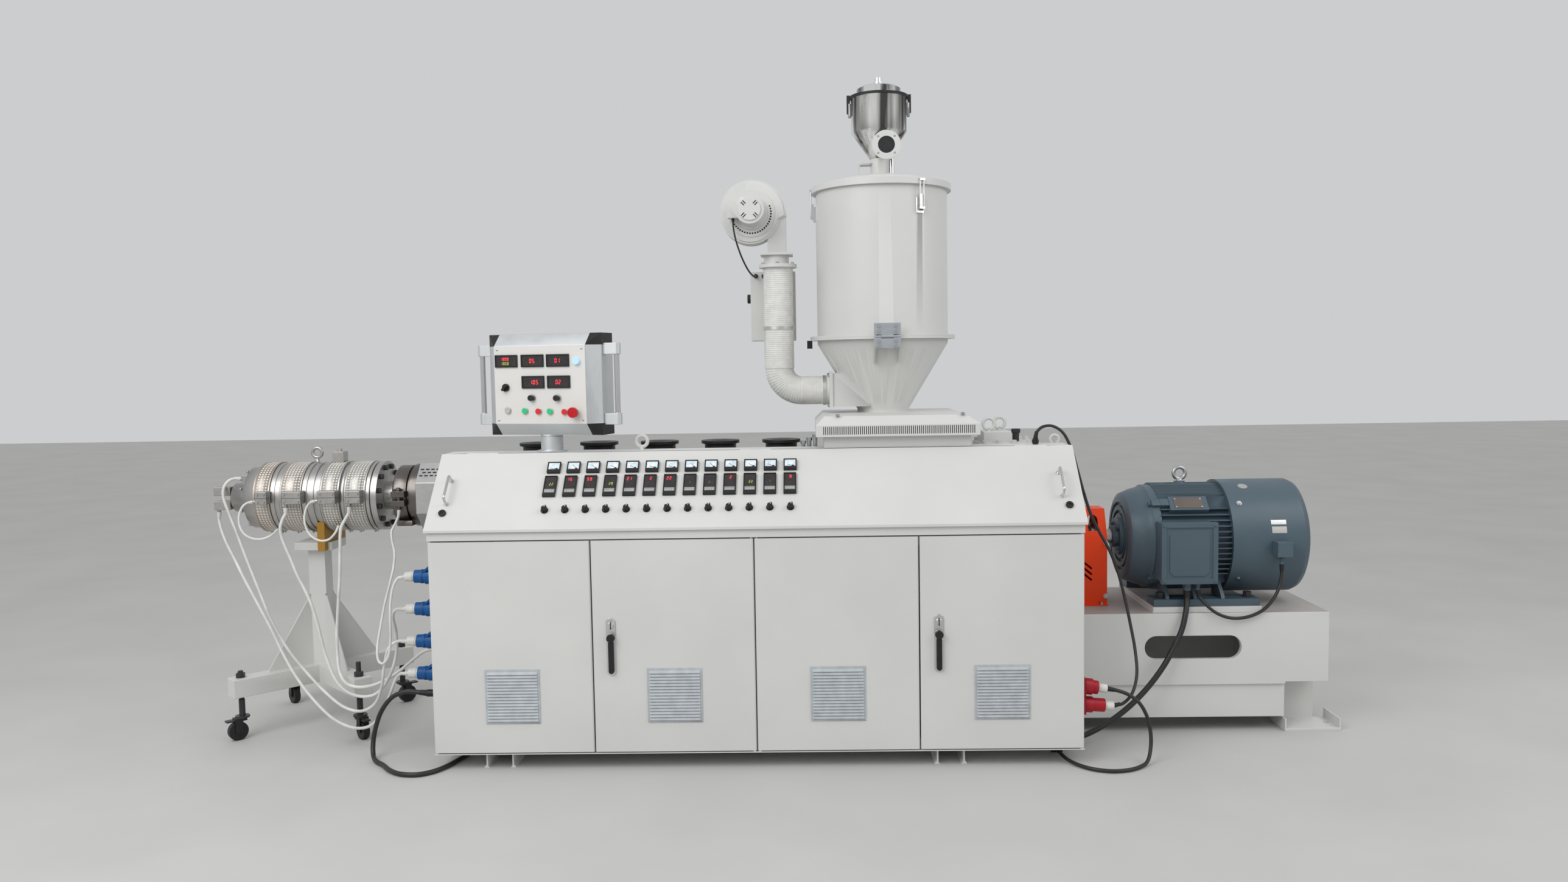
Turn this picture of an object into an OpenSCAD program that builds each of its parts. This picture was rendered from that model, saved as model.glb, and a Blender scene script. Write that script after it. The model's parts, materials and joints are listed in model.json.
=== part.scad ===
/* [Cabinet] */
// Length of the electrical cabinet along the machine
cab_w = 2420; // [2300:10:2600]
// Depth of the cabinet from its doors to its back
cab_d = 370; // [350:5:400]
// Underside of the cabinet above the floor
cab_z = 60; // [50:1:75]
// Top edge of the doors above the floor
door_top = 862; // [840:1:880]
// Thickness of a folded door leaf
door_t = 20; // [18:1:24]
// Gap round a closed door
door_gap = 5; // [5:0.5:7]
// Sheet thickness of the cabinet, its doors and its covers
sheet = 3; // [2:0.5:4]
// Height of the plain strip between the doors and the sloped panel
strip_h = 31; // [25:1:40]
// Height that the sloped panel rises
slope_rise = 262; // [240:1:280]
// Depth that the sloped panel runs back
slope_run = 243; // [230:1:255]
// Distance from a door's edge to its hinge pin
pin_in = 8; // [7:0.5:9]
// Radius of a door's hinge pin
pin_r = 3; // [2.5:0.5:3.5]

/* [Control box] */
// Width of the control box over its profiles
box_w = 480; // [440:5:520]
// Height of the control box over its profiles
box_h = 393; // [370:1:410]
// Depth of the control box
box_d = 170; // [150:1:190]
// Width of the sloping profile round the face
box_bevel = 46; // [40:1:52]
// Angle that the box is turned on its post
box_turn = 15; // [0:1:30]
// Radius of the post under the control box
post_r = 43; // [38:1:48]

/* [Base frame] */
// Length of the base beyond the cabinet's right end
base_past = 1053; // [1000:1:1100]
// Depth of the base from front to back
base_d = 540; // [520:1:560]
// Height of the base's top
base_top = 483; // [470:1:500]
// Underside of the base above the floor
base_z = 58; // [50:1:66]
// Plate thickness of the base
base_wall = 14; // [10:1:18]
// Length of the oblong hole in the base's front
oblong_l = 383; // [360:1:400]
// Height of the oblong hole
oblong_h = 94; // [80:1:100]
// Radius of an anchor hole in a foot plate
anchor_r = 10; // [8:0.5:12]

/* [Barrel and die] */
// Height of the screw's axis above the floor
screw_z = 970; // [950:1:1000]
// Radius of the die's body over its heater bands
die_r = 148; // [140:1:152]
// Half height of the barrel's cover
cover_r = 142; // [135:1:148]

/* [Motor] */
// Height of the motor's shaft above its feet
motor_h = 250; // [246:1:256]
// Radius of the motor's fan cover
fan_r = 233; // [215:1:236]
// Radius of the motor's frame over its fins
frame_r = 222; // [205:1:224]

/* [Dryer hopper] */
// Distance of the hopper's axis from the cabinet's right end
hop_back = 690; // [660:1:720]
// Radius of the hopper's drum
drum_r = 270; // [255:1:285]
// Height of the flange that joins drum and cone
flange_z = 1600; // [1580:1:1620]
// Height of the drum's top
drum_top = 2195; // [2150:1:2250]
// Radius of the cone's outlet
outlet_r = 108; // [95:1:115]

/* [Hidden] */
$fn = 64;
e = 0.01;

// Cabinet
door_n = 4;
bay = cab_w / door_n;
door_z = cab_z + sheet + door_gap;
leaf_h = door_top - door_z;
leaf_w = bay - door_gap;
frame_y = door_t + 8;
strip_z = door_top + door_gap;
lip_z = strip_z + strip_h;
deck_z = lip_z + 11 + slope_rise;
slope_z = lip_z + 11;
slope_len = sqrt(slope_rise * slope_rise + slope_run * slope_run);
lip_over = 8;
face_a = atan2(slope_rise, slope_run - 3 + lip_over + sheet);
post_w = 36;
pin_d = pin_in;
edge_cut = 4;
lid_axis_y = slope_run + 4;
lid_axis_z = deck_z - 1.5;
deck_y = slope_run + 8;
knuckle_r = 3.5;
knuckle_l = 40;
strip_flange = 20;
lid_hinges = [150, cab_w / 2, cab_w - 150];
door_lefts = [for (i = [0 : door_n - 1]) i * bay + door_gap / 2];
hinge_left = [true, false, true, false];
function pin_x(i) = hinge_left[i] ? door_lefts[i] + pin_in : door_lefts[i] + leaf_w - pin_in;

// Grilles, centred low on each leaf
grille_w = 204;
grille_z = 281;
lock_w = 36;
lock_h = 216;
lock_z = 358;
lock_in = 50;
lock_t = 4;
lock_reach = 22;

// Control box
post_x = 408;
post_y = 311;
box_z = deck_z + 67;
spigot_r = 16;

// Base and feet
base_x0 = 60;
base_x1 = cab_w + base_past;
base_y0 = cab_d;
base_y1 = cab_d + base_d;
axis_y = cab_d + base_d / 2;
ledge_z = 193;
ledge_in = 10;
rim_h = 50;
rim_t = 6;
pocket_l = 169;
pocket_d = 150;
pocket_z = 202;
plate_past = 53;
plate_t = 12;
oblong_x = base_x1 - 536;
oblong_z = 344;

// Motor
mount_t = 22;
mount_l = 432;
foot_a = 406;
foot_b = 349;
motor_mid = cab_w + 578;
motor_z = base_top + mount_t + motor_h;
motor_x0 = cab_w + 288;
frame_x0 = cab_w + 415;
fan_x = cab_w + 687;
motor_x1 = cab_w + 1000;
hub_l = 30;
core_in = 26;
fin_n = 6;
fin_pitch = 22;
fin_t = 5;
coupling_x = cab_w + 140;
term_x0 = cab_w + 378;
term_w = 221;
term_z0 = 607;
term_h = 243;
term_y = axis_y - 310;
main_gland = [cab_w + 495, axis_y - 255];
lead_gland = [cab_w + 537, axis_y - 255];
fan_gland = [cab_w + 869, axis_y - 255];

// Hopper, with the hinge line of its drum in front of the flanges
hop_x = cab_w - hop_back;
tilt_in = drum_r + 40;
flange_w = 30;

// Hot air duct of the dryer
dryer_y = axis_y - 40;
duct_x = hop_x - 430;
duct_r = 61;
duct_z = 1388;
duct_top = 1893;
elbow_r = 92;
inlet_x = hop_x - 218;
inlet_w = 150;

// Riser and hood over the feed throat
riser_x0 = cab_w - 943;
riser_x1 = cab_w - 378;
gear_x1 = cab_w + 60;
hood_over = 32;
riser_top = deck_z + 45;
hood_face = 45;
hood_rise = 34;

// Die, from its tip to the barrel's cover
tip_x = -1029;
ring_x = -946;
bands_x = -889;
body_x1 = -415;
neck_x = -372;
clamp_x = -320;
cover_x = -208;
stand_x = -678;
stand_top = 782;
post_half = 36;
plate_half = 75;
saddle_x0 = -640;
saddle_x1 = -608;
tip_plug_l = 70;
plug_x = [[-858, -809], [-747, -667], [-599, -525], [-484, -422]];

// Natural origin: the middle of the footprint
left_x = tip_x - tip_plug_l;
right_x = base_x1 + plate_past;
front_y = -lock_reach;
rear_y = axis_y + drum_r + flange_w;
origin = [(left_x + right_x) / 2, (front_y + rear_y) / 2, 0];

module place() translate(-origin) children();

// A box between two corners
module block(a, b) translate(a) cube(b - a);

// A bar along X between two ends, centred on y and z
module rod_x(x0, x1, y, z, r) translate([x0, y, z]) rotate([0, 90, 0]) cylinder(r = r, h = x1 - x0);

// A profile in the YZ plane swept along X
module along_x(x0, x1) translate([x0, 0, 0]) rotate([90, 0, 90]) linear_extrude(x1 - x0) children();

// A ring for lifting, standing in a plane turned about Z
module lifting_eye(ring_r, bar_r, stem_r, stem_h) {
  translate([0, 0, stem_h + ring_r - 2]) rotate([90, 0, 0])
    rotate_extrude() translate([ring_r, 0]) circle(r = bar_r, $fn = 24);
  cylinder(r = stem_r, h = stem_h);
}

// A bow handle in the XZ plane, standing on y = 0 and reaching to -reach
module bow(length, reach, r) {
  bend = r * 2.5;
  for (s = [-1, 1]) translate([0, 0, s * length / 2]) {
    rotate([90, 0, 0]) cylinder(r = r, h = reach - bend);
    translate([0, -(reach - bend), -s * bend]) rotate([180, -s * 90, 0])
      rotate_extrude(angle = 90) translate([bend, 0]) circle(r = r, $fn = 24);
  }
  translate([0, -reach, -length / 2 + bend]) cylinder(r = r, h = length - 2 * bend);
}

module cabinet_shell() color([0.86, 0.86, 0.84]) {
  difference() {
    union() {
      block([0, 0, cab_z], [cab_w, cab_d, cab_z + sheet]);
      block([0, cab_d - sheet, cab_z + sheet], [cab_w, cab_d, deck_z - sheet]);
      for (x = [0, cab_w - sheet]) along_x(x, x + sheet) end_outline();
      block([sheet, frame_y, cab_z + sheet], [cab_w - sheet, frame_y + sheet, cab_z + sheet + post_w]);
      block([sheet, frame_y, door_top - post_w], [cab_w - sheet, frame_y + sheet, strip_z]);
      for (x = [sheet, cab_w / 2 - post_w / 2, cab_w - sheet - post_w])
        block([x, frame_y, cab_z + sheet + post_w], [x + post_w, frame_y + sheet, door_top - post_w]);
      block([cab_w / 2 - sheet / 2, frame_y + sheet, cab_z + sheet],
            [cab_w / 2 + sheet / 2, cab_d - sheet, door_top - post_w]);
      block([sheet, 0, strip_z], [cab_w - sheet, frame_y + sheet, strip_z + sheet]);
      block([sheet, 0, strip_z + sheet], [cab_w - sheet, sheet, lip_z]);
      for (i = [0 : door_n - 1]) door_pins(i);
      block([0, deck_y, deck_z - sheet], [cab_w, cab_d, deck_z]);
      for (x = lid_hinges, s = [-1, 1]) deck_knuckle(x + s * (knuckle_l + 0.3));
      translate([762, 310, deck_z - 1]) lifting_eye(22, 7, 9, 16);
    }
  }
}

// Half of a hinge on the deck's front edge, with its share of the pin
module deck_knuckle(x) {
  rod_x(x - knuckle_l / 2, x + knuckle_l / 2, lid_axis_y, lid_axis_z, knuckle_r);
  block([x - knuckle_l / 2, lid_axis_y, deck_z - sheet], [x + knuckle_l / 2, deck_y + 1, deck_z - 0.5]);
}

module end_outline() polygon([
  [frame_y, cab_z + sheet], [cab_d - sheet, cab_z + sheet], [cab_d - sheet, deck_z - sheet],
  [deck_y, deck_z - sheet], [deck_y, deck_z - 22], [strip_flange + 2, slope_z + 8],
  [strip_flange + 2, lip_z], [0, lip_z],
  [0, strip_z], [frame_y, strip_z]
]);

module door_pins(i) {
  translate([pin_x(i), pin_d, cab_z + sheet]) {
    cylinder(r = pin_r + 2.5, h = door_gap - 0.3);
    cylinder(r = pin_r, h = door_gap + 12);
  }
  translate([pin_x(i), pin_d, strip_z - door_gap - 12]) cylinder(r = pin_r, h = door_gap + 12);
}

module cabinet_feet() color([0.84, 0.84, 0.82])
  for (x = [238, cab_w - 490]) along_y(30, cab_d - 30) foot_outline(x);

module along_y(y0, y1) translate([0, y1, 0]) rotate([90, 0, 0]) linear_extrude(y1 - y0) children();

module foot_outline(x) {
  half = 62;
  splay = 10;
  t = 6;
  polygon([
    [x - half, 0], [x - half + t + 18, 0], [x - half + t + splay, t], [x - half + splay + t, cab_z - t],
    [x + half - splay - t, cab_z - t], [x + half - splay - t, t], [x + half - t - 18, 0], [x + half, 0],
    [x + half - splay, t * 2], [x + half - splay, cab_z], [x - half + splay, cab_z], [x - half + splay, t * 2]
  ]);
}

// A door leaf: a folded tray with its back open, bored for the pins
module door_leaf(i) color([0.87, 0.87, 0.85]) {
  x0 = door_lefts[i];
  bush = 2 * (pin_in - sheet / 2);
  difference() {
    union() {
      difference() {
        translate([x0, 0, door_z]) linear_extrude(leaf_h) polygon([
          [0, edge_cut], [edge_cut, 0], [leaf_w - edge_cut, 0], [leaf_w, edge_cut], [leaf_w, door_t], [0, door_t]
        ]);
        block([x0 + edge_cut, edge_cut, door_z + sheet], [x0 + leaf_w - edge_cut, door_t + e, door_top - sheet]);
      }
      for (z = [door_z, door_top - 16])
        block([pin_x(i) - bush / 2, sheet, z], [pin_x(i) + bush / 2, pin_d + bush / 2, z + 16]);
      grille(x0 + leaf_w / 2 - grille_w / 2);
    }
    translate([pin_x(i), pin_d, door_z - e]) cylinder(r = pin_r + 0.05, h = 16 + 2 * e);
    translate([pin_x(i), pin_d, door_top - 16 - e]) cylinder(r = pin_r + 0.05, h = 16 + 2 * e);
  }
}

// A louvred filter grille in a thin frame
module grille(x) color([0.6, 0.66, 0.7]) {
  rim = 8;
  slats = 16;
  pitch = (grille_w - 2 * rim) / slats;
  translate([x, 0, grille_z - grille_w / 2]) {
    block([0, -3, 0], [grille_w, 0, grille_w]);
    for (k = [0 : slats - 1]) translate([rim, -3, rim + k * pitch])
      rotate([90, 0, 90]) linear_extrude(grille_w - 2 * rim)
        polygon([[0, 1], [-5, 1], [-5, 3], [0, pitch - 1]]);
  }
}

// The sloped panel, a folded sheet that lifts about its upper edge
module sloped_panel() color([0.85, 0.85, 0.83]) difference() {
  union() {
    along_x(-lip_over, cab_w + lip_over) polygon([
      [-lip_over - sheet, lip_z + 0.3], [strip_flange, lip_z + 0.3], [strip_flange, lip_z + 0.3 + sheet],
      [-lip_over, lip_z + 0.3 + sheet], [-lip_over, slope_z - 3], [slope_run - 4, deck_z - sheet - 3],
      [slope_run, deck_z - sheet], [slope_run, deck_z], [slope_run - 3, deck_z], [-lip_over - sheet, slope_z]
    ]);
    for (x = [-lip_over, cab_w + lip_over - sheet]) along_x(x, x + sheet) polygon([
      [-lip_over, lip_z + 0.3], [-lip_over, slope_z - 3], [slope_run - 4, deck_z - sheet - 3],
      [slope_run - 4, deck_z - 30], [12, lip_z + 0.3]
    ]);
    for (x = lid_hinges) {
      rod_x(x - knuckle_l / 2, x + knuckle_l / 2, lid_axis_y, lid_axis_z, knuckle_r);
      block([x - knuckle_l / 2, slope_run - 1, deck_z - sheet], [x + knuckle_l / 2, lid_axis_y, deck_z - 0.5]);
    }
  }
}

// Puts a piece on the sloped panel, u along the machine and v up the slope
module on_slope(u, v) translate([u, -lip_over - sheet - 0.02, slope_z]) rotate([face_a - 90, 0, 0])
  translate([0, 0, v]) children();

module box_post() color([0.8, 0.82, 0.84]) translate([post_x, post_y, deck_z]) {
  cylinder(r = post_r + 15, h = 6);
  cylinder(r = post_r, h = 60);
  cylinder(r = spigot_r, h = 100);
}

module turned() translate([post_x, post_y, 0]) rotate([0, 0, -box_turn]) children();

module box_face() color([0.9, 0.9, 0.88]) turned() {
  w = box_w / 2 - box_bevel;
  block([-w, -box_d / 2 - 2, box_z + box_bevel], [w, -box_d / 2, box_z + box_h - box_bevel]);
}

module hull_slot(s) {
  straight = oblong_l - oblong_h;
  translate([s * straight / 2, 0]) circle(d = oblong_h);
  square([straight, oblong_h], center = true);
}

function foot_x(x) = x + pocket_l / 2 + (x < base_x0 ? plate_past : 0);

module riser() color([0.86, 0.86, 0.84]) {
  block([riser_x0, deck_y, deck_z], [riser_x1, cab_d + 5, riser_top]);
  block([riser_x0, cab_d + 5, base_top], [riser_x1, axis_y + 200, riser_top]);
}

module feed_hood() color([0.88, 0.88, 0.86]) {
  x0 = riser_x0 - hood_over;
  x1 = riser_x1 + hood_over;
  y0 = deck_y - hood_over;
  y1 = axis_y + 200 + hood_over;
  in = 33;
  difference() {
    union() {
      block([x0, y0, riser_top], [x1, y1, riser_top + hood_face]);
      translate([0, 0, riser_top + hood_face]) polyhedron(
        points = [[x0, y0, 0], [x1, y0, 0], [x1, y1, 0], [x0, y1, 0],
                  [x0 + in, y0 + in, hood_rise], [x1 - in * 1.5, y0 + in, hood_rise],
                  [x1 - in * 1.5, y1 - in, hood_rise], [x0 + in, y1 - in, hood_rise]],
        faces = [[0, 1, 2, 3], [4, 7, 6, 5], [0, 4, 5, 1], [1, 5, 6, 2], [2, 6, 7, 3], [3, 7, 4, 0]]);
    }
  }
}

// A plate with round ends, standing in the XZ plane and reaching to -depth
module stadium(w, h, depth) rotate([90, 0, 0]) linear_extrude(depth) {
  for (s = [-1, 1]) translate([0, s * (h - w) / 2]) circle(d = w);
  square([w, h - w], center = true);
}

// A swing-handle lock on the free edge of a leaf
module lock(i) color([0.8, 0.8, 0.8]) {
  x = door_lefts[i] + lock_in + lock_w / 2;
  z = lock_z + lock_h / 2;
  translate([x, 0, z]) stadium(lock_w, lock_h, lock_t);
  translate([x, -lock_t, z - 38]) stadium(20, 124, 12);
  translate([x, -lock_t, z + 34]) rotate([90, 0, 0]) cylinder(r = 15, h = lock_reach - lock_t);
  translate([x, -lock_t, z + 80]) rotate([90, 0, 0]) cylinder(r = 11, h = 5);
}

// Meters and controllers: black bezels with a sunk window
module panel_instruments() color([0.05, 0.05, 0.06]) for (k = [0 : 12]) {
  on_slope(442 + 75.25 * k, 258) bezel(50, 50, 12, 4, 11);
  on_slope(438 + 75.5 * k, 146) bezel(48, 96, 10, 4, 16);
}

module bezel(w, h, depth, rim, foot) difference() {
  block([-w / 2, -depth, 0], [w / 2, 0, h]);
  block([-w / 2 + rim, -depth - e, foot], [w / 2 - rim, -depth + 3, h - rim]);
}

module panel_knobs() color([0.05, 0.05, 0.05])
  for (k = [0 : 12]) on_slope(431 + 76.25 * k, 84) {
    rotate([90, 0, 0]) cylinder(r = 14, h = 4);
    rotate([90, 0, 0]) cylinder(r = 10, h = 20);
    rotate([0, 30, 0]) block([-3, -22, -13], [3, -4, 13]);
  }

module panel_handles() {
  for (x = [56, cab_w - 66]) color([0.8, 0.8, 0.82]) on_slope(x, 173) {
    bow(110, 40, 5);
    for (s = [-1, 1]) translate([0, 0, s * 55]) rotate([90, 0, 0]) cylinder(r = 9, h = 3);
  }
  for (x = [50, cab_w - 48]) color([0.1, 0.1, 0.1]) on_slope(x, 76) difference() {
    rotate([90, 0, 0]) cylinder(r = 14, h = 8);
    rotate([90, 0, 0]) translate([0, 0, 5]) cylinder(r = 6, h = 4);
  }
}

// The box: bevelled on all four sides of its face and lightly on its back
module box_body() color([0.72, 0.74, 0.76]) turned() difference() {
  w = box_w / 2;
  d = box_d / 2;
  b = box_bevel;
  union() {
    intersection() {
      translate([0, 0, box_z]) linear_extrude(box_h) polygon([
        [-w, -d + b], [-w + b, -d], [w - b, -d], [w, -d + b], [w, d - b / 2], [w - b / 2, d],
        [-w + b / 2, d], [-w, d - b / 2]
      ]);
      along_x(-w - 1, w + 1) polygon([
        [-d, box_z + b], [-d + b, box_z], [d - b / 2, box_z], [d, box_z + b / 2],
        [d, box_z + box_h - b / 2], [d - b / 2, box_z + box_h], [-d + b, box_z + box_h], [-d, box_z + box_h - b]
      ]);
    }
    translate([0, 0, box_z - 6.7]) cylinder(r = post_r, h = 7);
  }
  translate([0, 0, box_z - 7]) cylinder(r = spigot_r + 0.05, h = 41);
}

// Displays and buttons on the face, each where it stands from the face's left and bottom edges
module box_controls() color([0.06, 0.06, 0.07]) turned()
  translate([-(box_w / 2 - box_bevel), -box_d / 2 - 2, box_z + box_bevel]) {
    for (p = [[6, 219], [118, 219], [226, 219], [119, 137], [228, 137]])
      translate([p[0] + 48, 0, p[1]]) bezel(96, 48, 6, 5, 5);
    for (p = [[55, 52], [129, 50], [187, 48], [236, 48], [298, 46]]) translate([p[0], 0, p[1]]) rotate([90, 0, 0]) {
      cylinder(r = 14, h = 4);
      cylinder(r = 11, h = 9);
    }
    for (p = [[160, 100], [268, 99]]) translate([p[0], 0, p[1]]) rotate([90, 0, 0]) {
      cylinder(r = 17, h = 1.5);
      cylinder(r = 11, h = 18);
    }
    translate([49, 0, 141]) {
      rotate([90, 0, 0]) cylinder(r = 15, h = 7);
      rotate([0, 45, 0]) block([-4, -20, -15], [4, -6, 15]);
    }
    translate([353, 0, 240]) rotate([90, 0, 0]) cylinder(r = 14, h = 12);
    translate([343, 0, 44]) rotate([90, 0, 0]) {
      cylinder(r = 13, h = 20);
      translate([0, 0, 18]) cylinder(r = 20, h = 13);
    }
  }

module box_handles() color([0.85, 0.86, 0.87]) turned() for (s = [-1, 1])
  translate([s * (box_w / 2), 0, box_z + box_h / 2]) {
    for (t = [-1, 1]) translate([0, 0, t * 135]) {
      block([s > 0 ? 0 : -50, -26, -22], [s > 0 ? 50 : 0, 6, 22]);
      translate([s * 50, -10, -22]) cylinder(r = 16, h = 44);
    }
    translate([s * 50, -10, -114]) cylinder(r = 10.5, h = 228);
  }

// Base: plates welded into a hollow bed, stepped in below its ledge, with a foot pocket at each corner
module base_frame() color([0.85, 0.84, 0.8]) difference() {
  inner = ledge_in + base_wall;
  union() {
    block([base_x0, base_y0, ledge_z], [base_x1, base_y1, base_top]);
    block([base_x0, base_y0 + ledge_in, base_z], [base_x1, base_y1 - ledge_in, ledge_z + 1]);
    block([motor_mid - mount_l / 2, axis_y - 255, base_top - 1], [motor_mid + mount_l / 2, axis_y + 255, base_top + mount_t]);
  }
  block([base_x0 + pocket_l + base_wall, base_y0 + inner, base_z - e],
        [base_x1 - pocket_l - base_wall, base_y1 - inner, base_top - base_wall]);
  for (x = [base_x0 - e, base_x1 - pocket_l], y = [base_y0 - e, base_y1 - pocket_d])
    block([x, y, base_z - e], [x + pocket_l + e, y + pocket_d + e, pocket_z]);
  translate([oblong_x, base_y0 - e, oblong_z]) rotate([-90, 0, 0])
    linear_extrude(inner + 2 * e) for (s = [-1, 1]) hull_slot(s);
}

// Foot trays with raised ends, each hung on an upright in its pocket
module foot_plates() color([0.84, 0.83, 0.8])
  for (left = [true, false], front = [true, false]) {
    x = left ? base_x0 - plate_past : base_x1 - pocket_l;
    y = front ? base_y0 : base_y1 - pocket_d;
    back = front ? y + pocket_d - plate_t : y;
    l = pocket_l + plate_past;
    difference() {
      block([x, y, 0], [x + l, y + pocket_d, plate_t]);
      translate([left ? x + 26 : x + l - 26, y + pocket_d / 2, -e]) cylinder(r = anchor_r, h = plate_t + 2 * e);
    }
    for (u = [x, x + l - rim_t]) block([u, y, plate_t - 1], [u + rim_t, y + pocket_d, rim_h]);
    block([left ? base_x0 : x, back, plate_t - 1], [left ? x + l : base_x1, back + plate_t, pocket_z]);
  }

module barrel_cover() color([0.75, 0.76, 0.76]) {
  c = cover_r;
  k = cover_r * 0.45;
  along_x(cover_x, riser_x0) translate([axis_y, screw_z]) polygon([
    [-c, -k], [-k, -c], [k, -c], [c, -k], [c, k], [k, c], [-k, c], [-c, k]
  ]);
  for (x = [300, 1000]) block([x, axis_y - 60, base_top], [x + 120, axis_y + 60, screw_z - c]);
}

// Cooling blowers on the barrel's cover, each a drum with a rim and a raised middle
module barrel_blowers() color([0.06, 0.06, 0.07])
  for (k = [0 : 4]) translate([277 + 256 * k, axis_y, screw_z + cover_r]) rotate_extrude() polygon([
    [0, 0], [72, 0], [72, 8], [66, 10], [66, 56], [80, 60], [80, 72], [40, 72], [36, 74], [0, 74]
  ]);

// Gearbox: a stepped casting with its lifting eyes, a filler cap and the input shaft's housing
module gearbox() color([0.86, 0.86, 0.84]) {
  block([riser_x1, axis_y - 190, base_top], [gear_x1, axis_y + 190, 1100]);
  block([riser_x1 + 78, axis_y - 120, 1100], [riser_x1 + 318, axis_y + 120, 1160]);
  block([riser_x1 + 93, axis_y - 90, 1160], [riser_x1 + 208, axis_y + 90, 1207]);
  for (p = [[122, -40], [179, 40]]) translate([riser_x1 + p[0], axis_y + p[1], 1205]) lifting_eye(23, 7, 9, 11);
  translate([riser_x1 + 241, axis_y, 1160]) cylinder(r = 14, h = 40);
  translate([riser_x1 + 241, axis_y, 1195]) cylinder(r = 19, h = 18);
  translate([gear_x1 - 36, axis_y, 1100]) lifting_eye(18, 6, 9, 50);
}

// Guard: a folded hood over the coupling with an end plate, feet, a window and slots
module coupling_guard() color([0.95, 0.3, 0.15]) {
  x0 = gear_x1;
  x1 = cab_w + 220;
  y = 97;
  top = 395;
  fold = 278;
  lean = 50;
  difference() {
    union() {
      along_x(x0, x1) translate([axis_y, base_top]) polygon([
        [-y, 0], [-y, fold], [-y + lean, top], [y - lean, top], [y, fold], [y, 0],
        [y - sheet, 0], [y - sheet, fold - 1], [y - lean - 2, top - sheet], [-y + lean + 2, top - sheet],
        [-y + sheet, fold - 1], [-y + sheet, 0]
      ]);
      along_x(x1 - sheet, x1) translate([axis_y, base_top]) polygon([
        [-y, 0], [-y, fold], [-y + lean, top], [y - lean, top], [y, fold], [y, 0]
      ]);
      for (s = [-1, 1]) block([x0, axis_y + (s > 0 ? y - 1 : -y - 22), base_top],
                              [x1, axis_y + (s > 0 ? y + 22 : -y + 1), base_top + 5]);
    }
    rod_x(x1 - 20, x1 + 10, axis_y, motor_z, 62);
    for (s = [-1, 1]) translate([x1 - 54, axis_y + s * y, 790]) {
      block([-21, -60, 0], [21, 60, 42]);
      translate([0, 0, 42]) rotate([90, 0, 0]) cylinder(r = 21, h = 120, center = true);
    }
    for (k = [0 : 2]) translate([x1 - 80, axis_y - y, 600 + 24 * k]) rotate([0, 40, 0])
      cube([44, 20, 7], center = true);
  }
}

// A fin along the motor, standing at a distance from the axis on one of its four sides
module fin(side, k) {
  off = k * fin_pitch;
  rotate([side, 0, 0]) block([0, off - fin_t / 2, frame_r - core_in - 60],
    [fan_x - frame_x0, off + fin_t / 2, sqrt(frame_r * frame_r - (abs(off) + fin_t / 2) * (abs(off) + fin_t / 2))]);
}

// Motor frame: a finned core on two feet, with joint lugs, a name pad and a lifting eye
module motor_frame() color([0.2, 0.26, 0.29]) {
  rod_x(frame_x0, fan_x, axis_y, motor_z, frame_r - core_in);
  translate([cab_w + 543, axis_y, motor_z + frame_r - 40]) {
    cylinder(r = 22, h = 48);
    translate([0, 0, 46]) lifting_eye(24, 8, 12, 12);
  }
  translate([frame_x0, axis_y, motor_z]) for (side = [0 : 90 : 270], k = [-fin_n : fin_n]) fin(side, k);
  translate([0, axis_y, motor_z]) rotate([46, 0, 0])
    block([cab_w + 452, -34, frame_r - 60], [cab_w + 606, 34, frame_r + 1]);
  for (a = [45 : 90 : 315]) translate([frame_x0, axis_y, motor_z]) rotate([a, 0, 0])
    block([0, -17, frame_r - 50], [34, 17, frame_r + 6]);
  for (s = [-1, 1]) difference() {
    block([motor_mid - 210, s > 0 ? axis_y + 150 : axis_y - 245, motor_z - motor_h],
          [motor_mid + 210, s > 0 ? axis_y + 245 : axis_y - 150, motor_z - motor_h + 28]);
    for (x = [-1, 1]) translate([motor_mid + x * foot_b / 2, axis_y + s * foot_a / 2, motor_z - motor_h - e])
      cylinder(r = 12, h = 30);
  }
  for (s = [-1, 1], x = [-160, -50, 60])
    translate([motor_mid + x, axis_y, motor_z - motor_h]) rotate([90, 0, 90]) linear_extrude(14) polygon([
      [s * 120, 27], [s * 238, 27], [s * 232, 40], [s * 164, 104], [s * 120, 104]
    ]);
}

// Bell at the shaft's end: rings round the bearing and lugs that bolt it to the frame
module motor_shield() color([0.19, 0.24, 0.27]) translate([motor_x0, axis_y, motor_z]) {
  d = frame_x0 - motor_x0;
  rotate([0, 90, 0]) rotate_extrude() polygon([
    [0, -hub_l], [45, -hub_l], [45, -8], [78, -8], [78, 4], [94, 4], [94, 14], [108, 14], [108, 4], [128, 4],
    [128, 14], [142, 14], [142, 4], [160, 4], [180, 12], [196, 50], [206, 86], [214, 96], [214, d], [0, d]
  ]);
  for (a = [45 : 90 : 315]) rotate([a, 0, 0]) block([d - 34, -17, frame_r - 50], [d, 17, frame_r + 6]);
}

module motor_fan_cover() color([0.2, 0.27, 0.3]) translate([fan_x, axis_y, motor_z])
  rotate([0, 90, 0]) rotate_extrude() polygon([
    [0, 0], [fan_r, 0], [fan_r, motor_x1 - fan_x - 26], [fan_r - 8, motor_x1 - fan_x - 8],
    [fan_r - 24, motor_x1 - fan_x], [0, motor_x1 - fan_x]
  ]);

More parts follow.
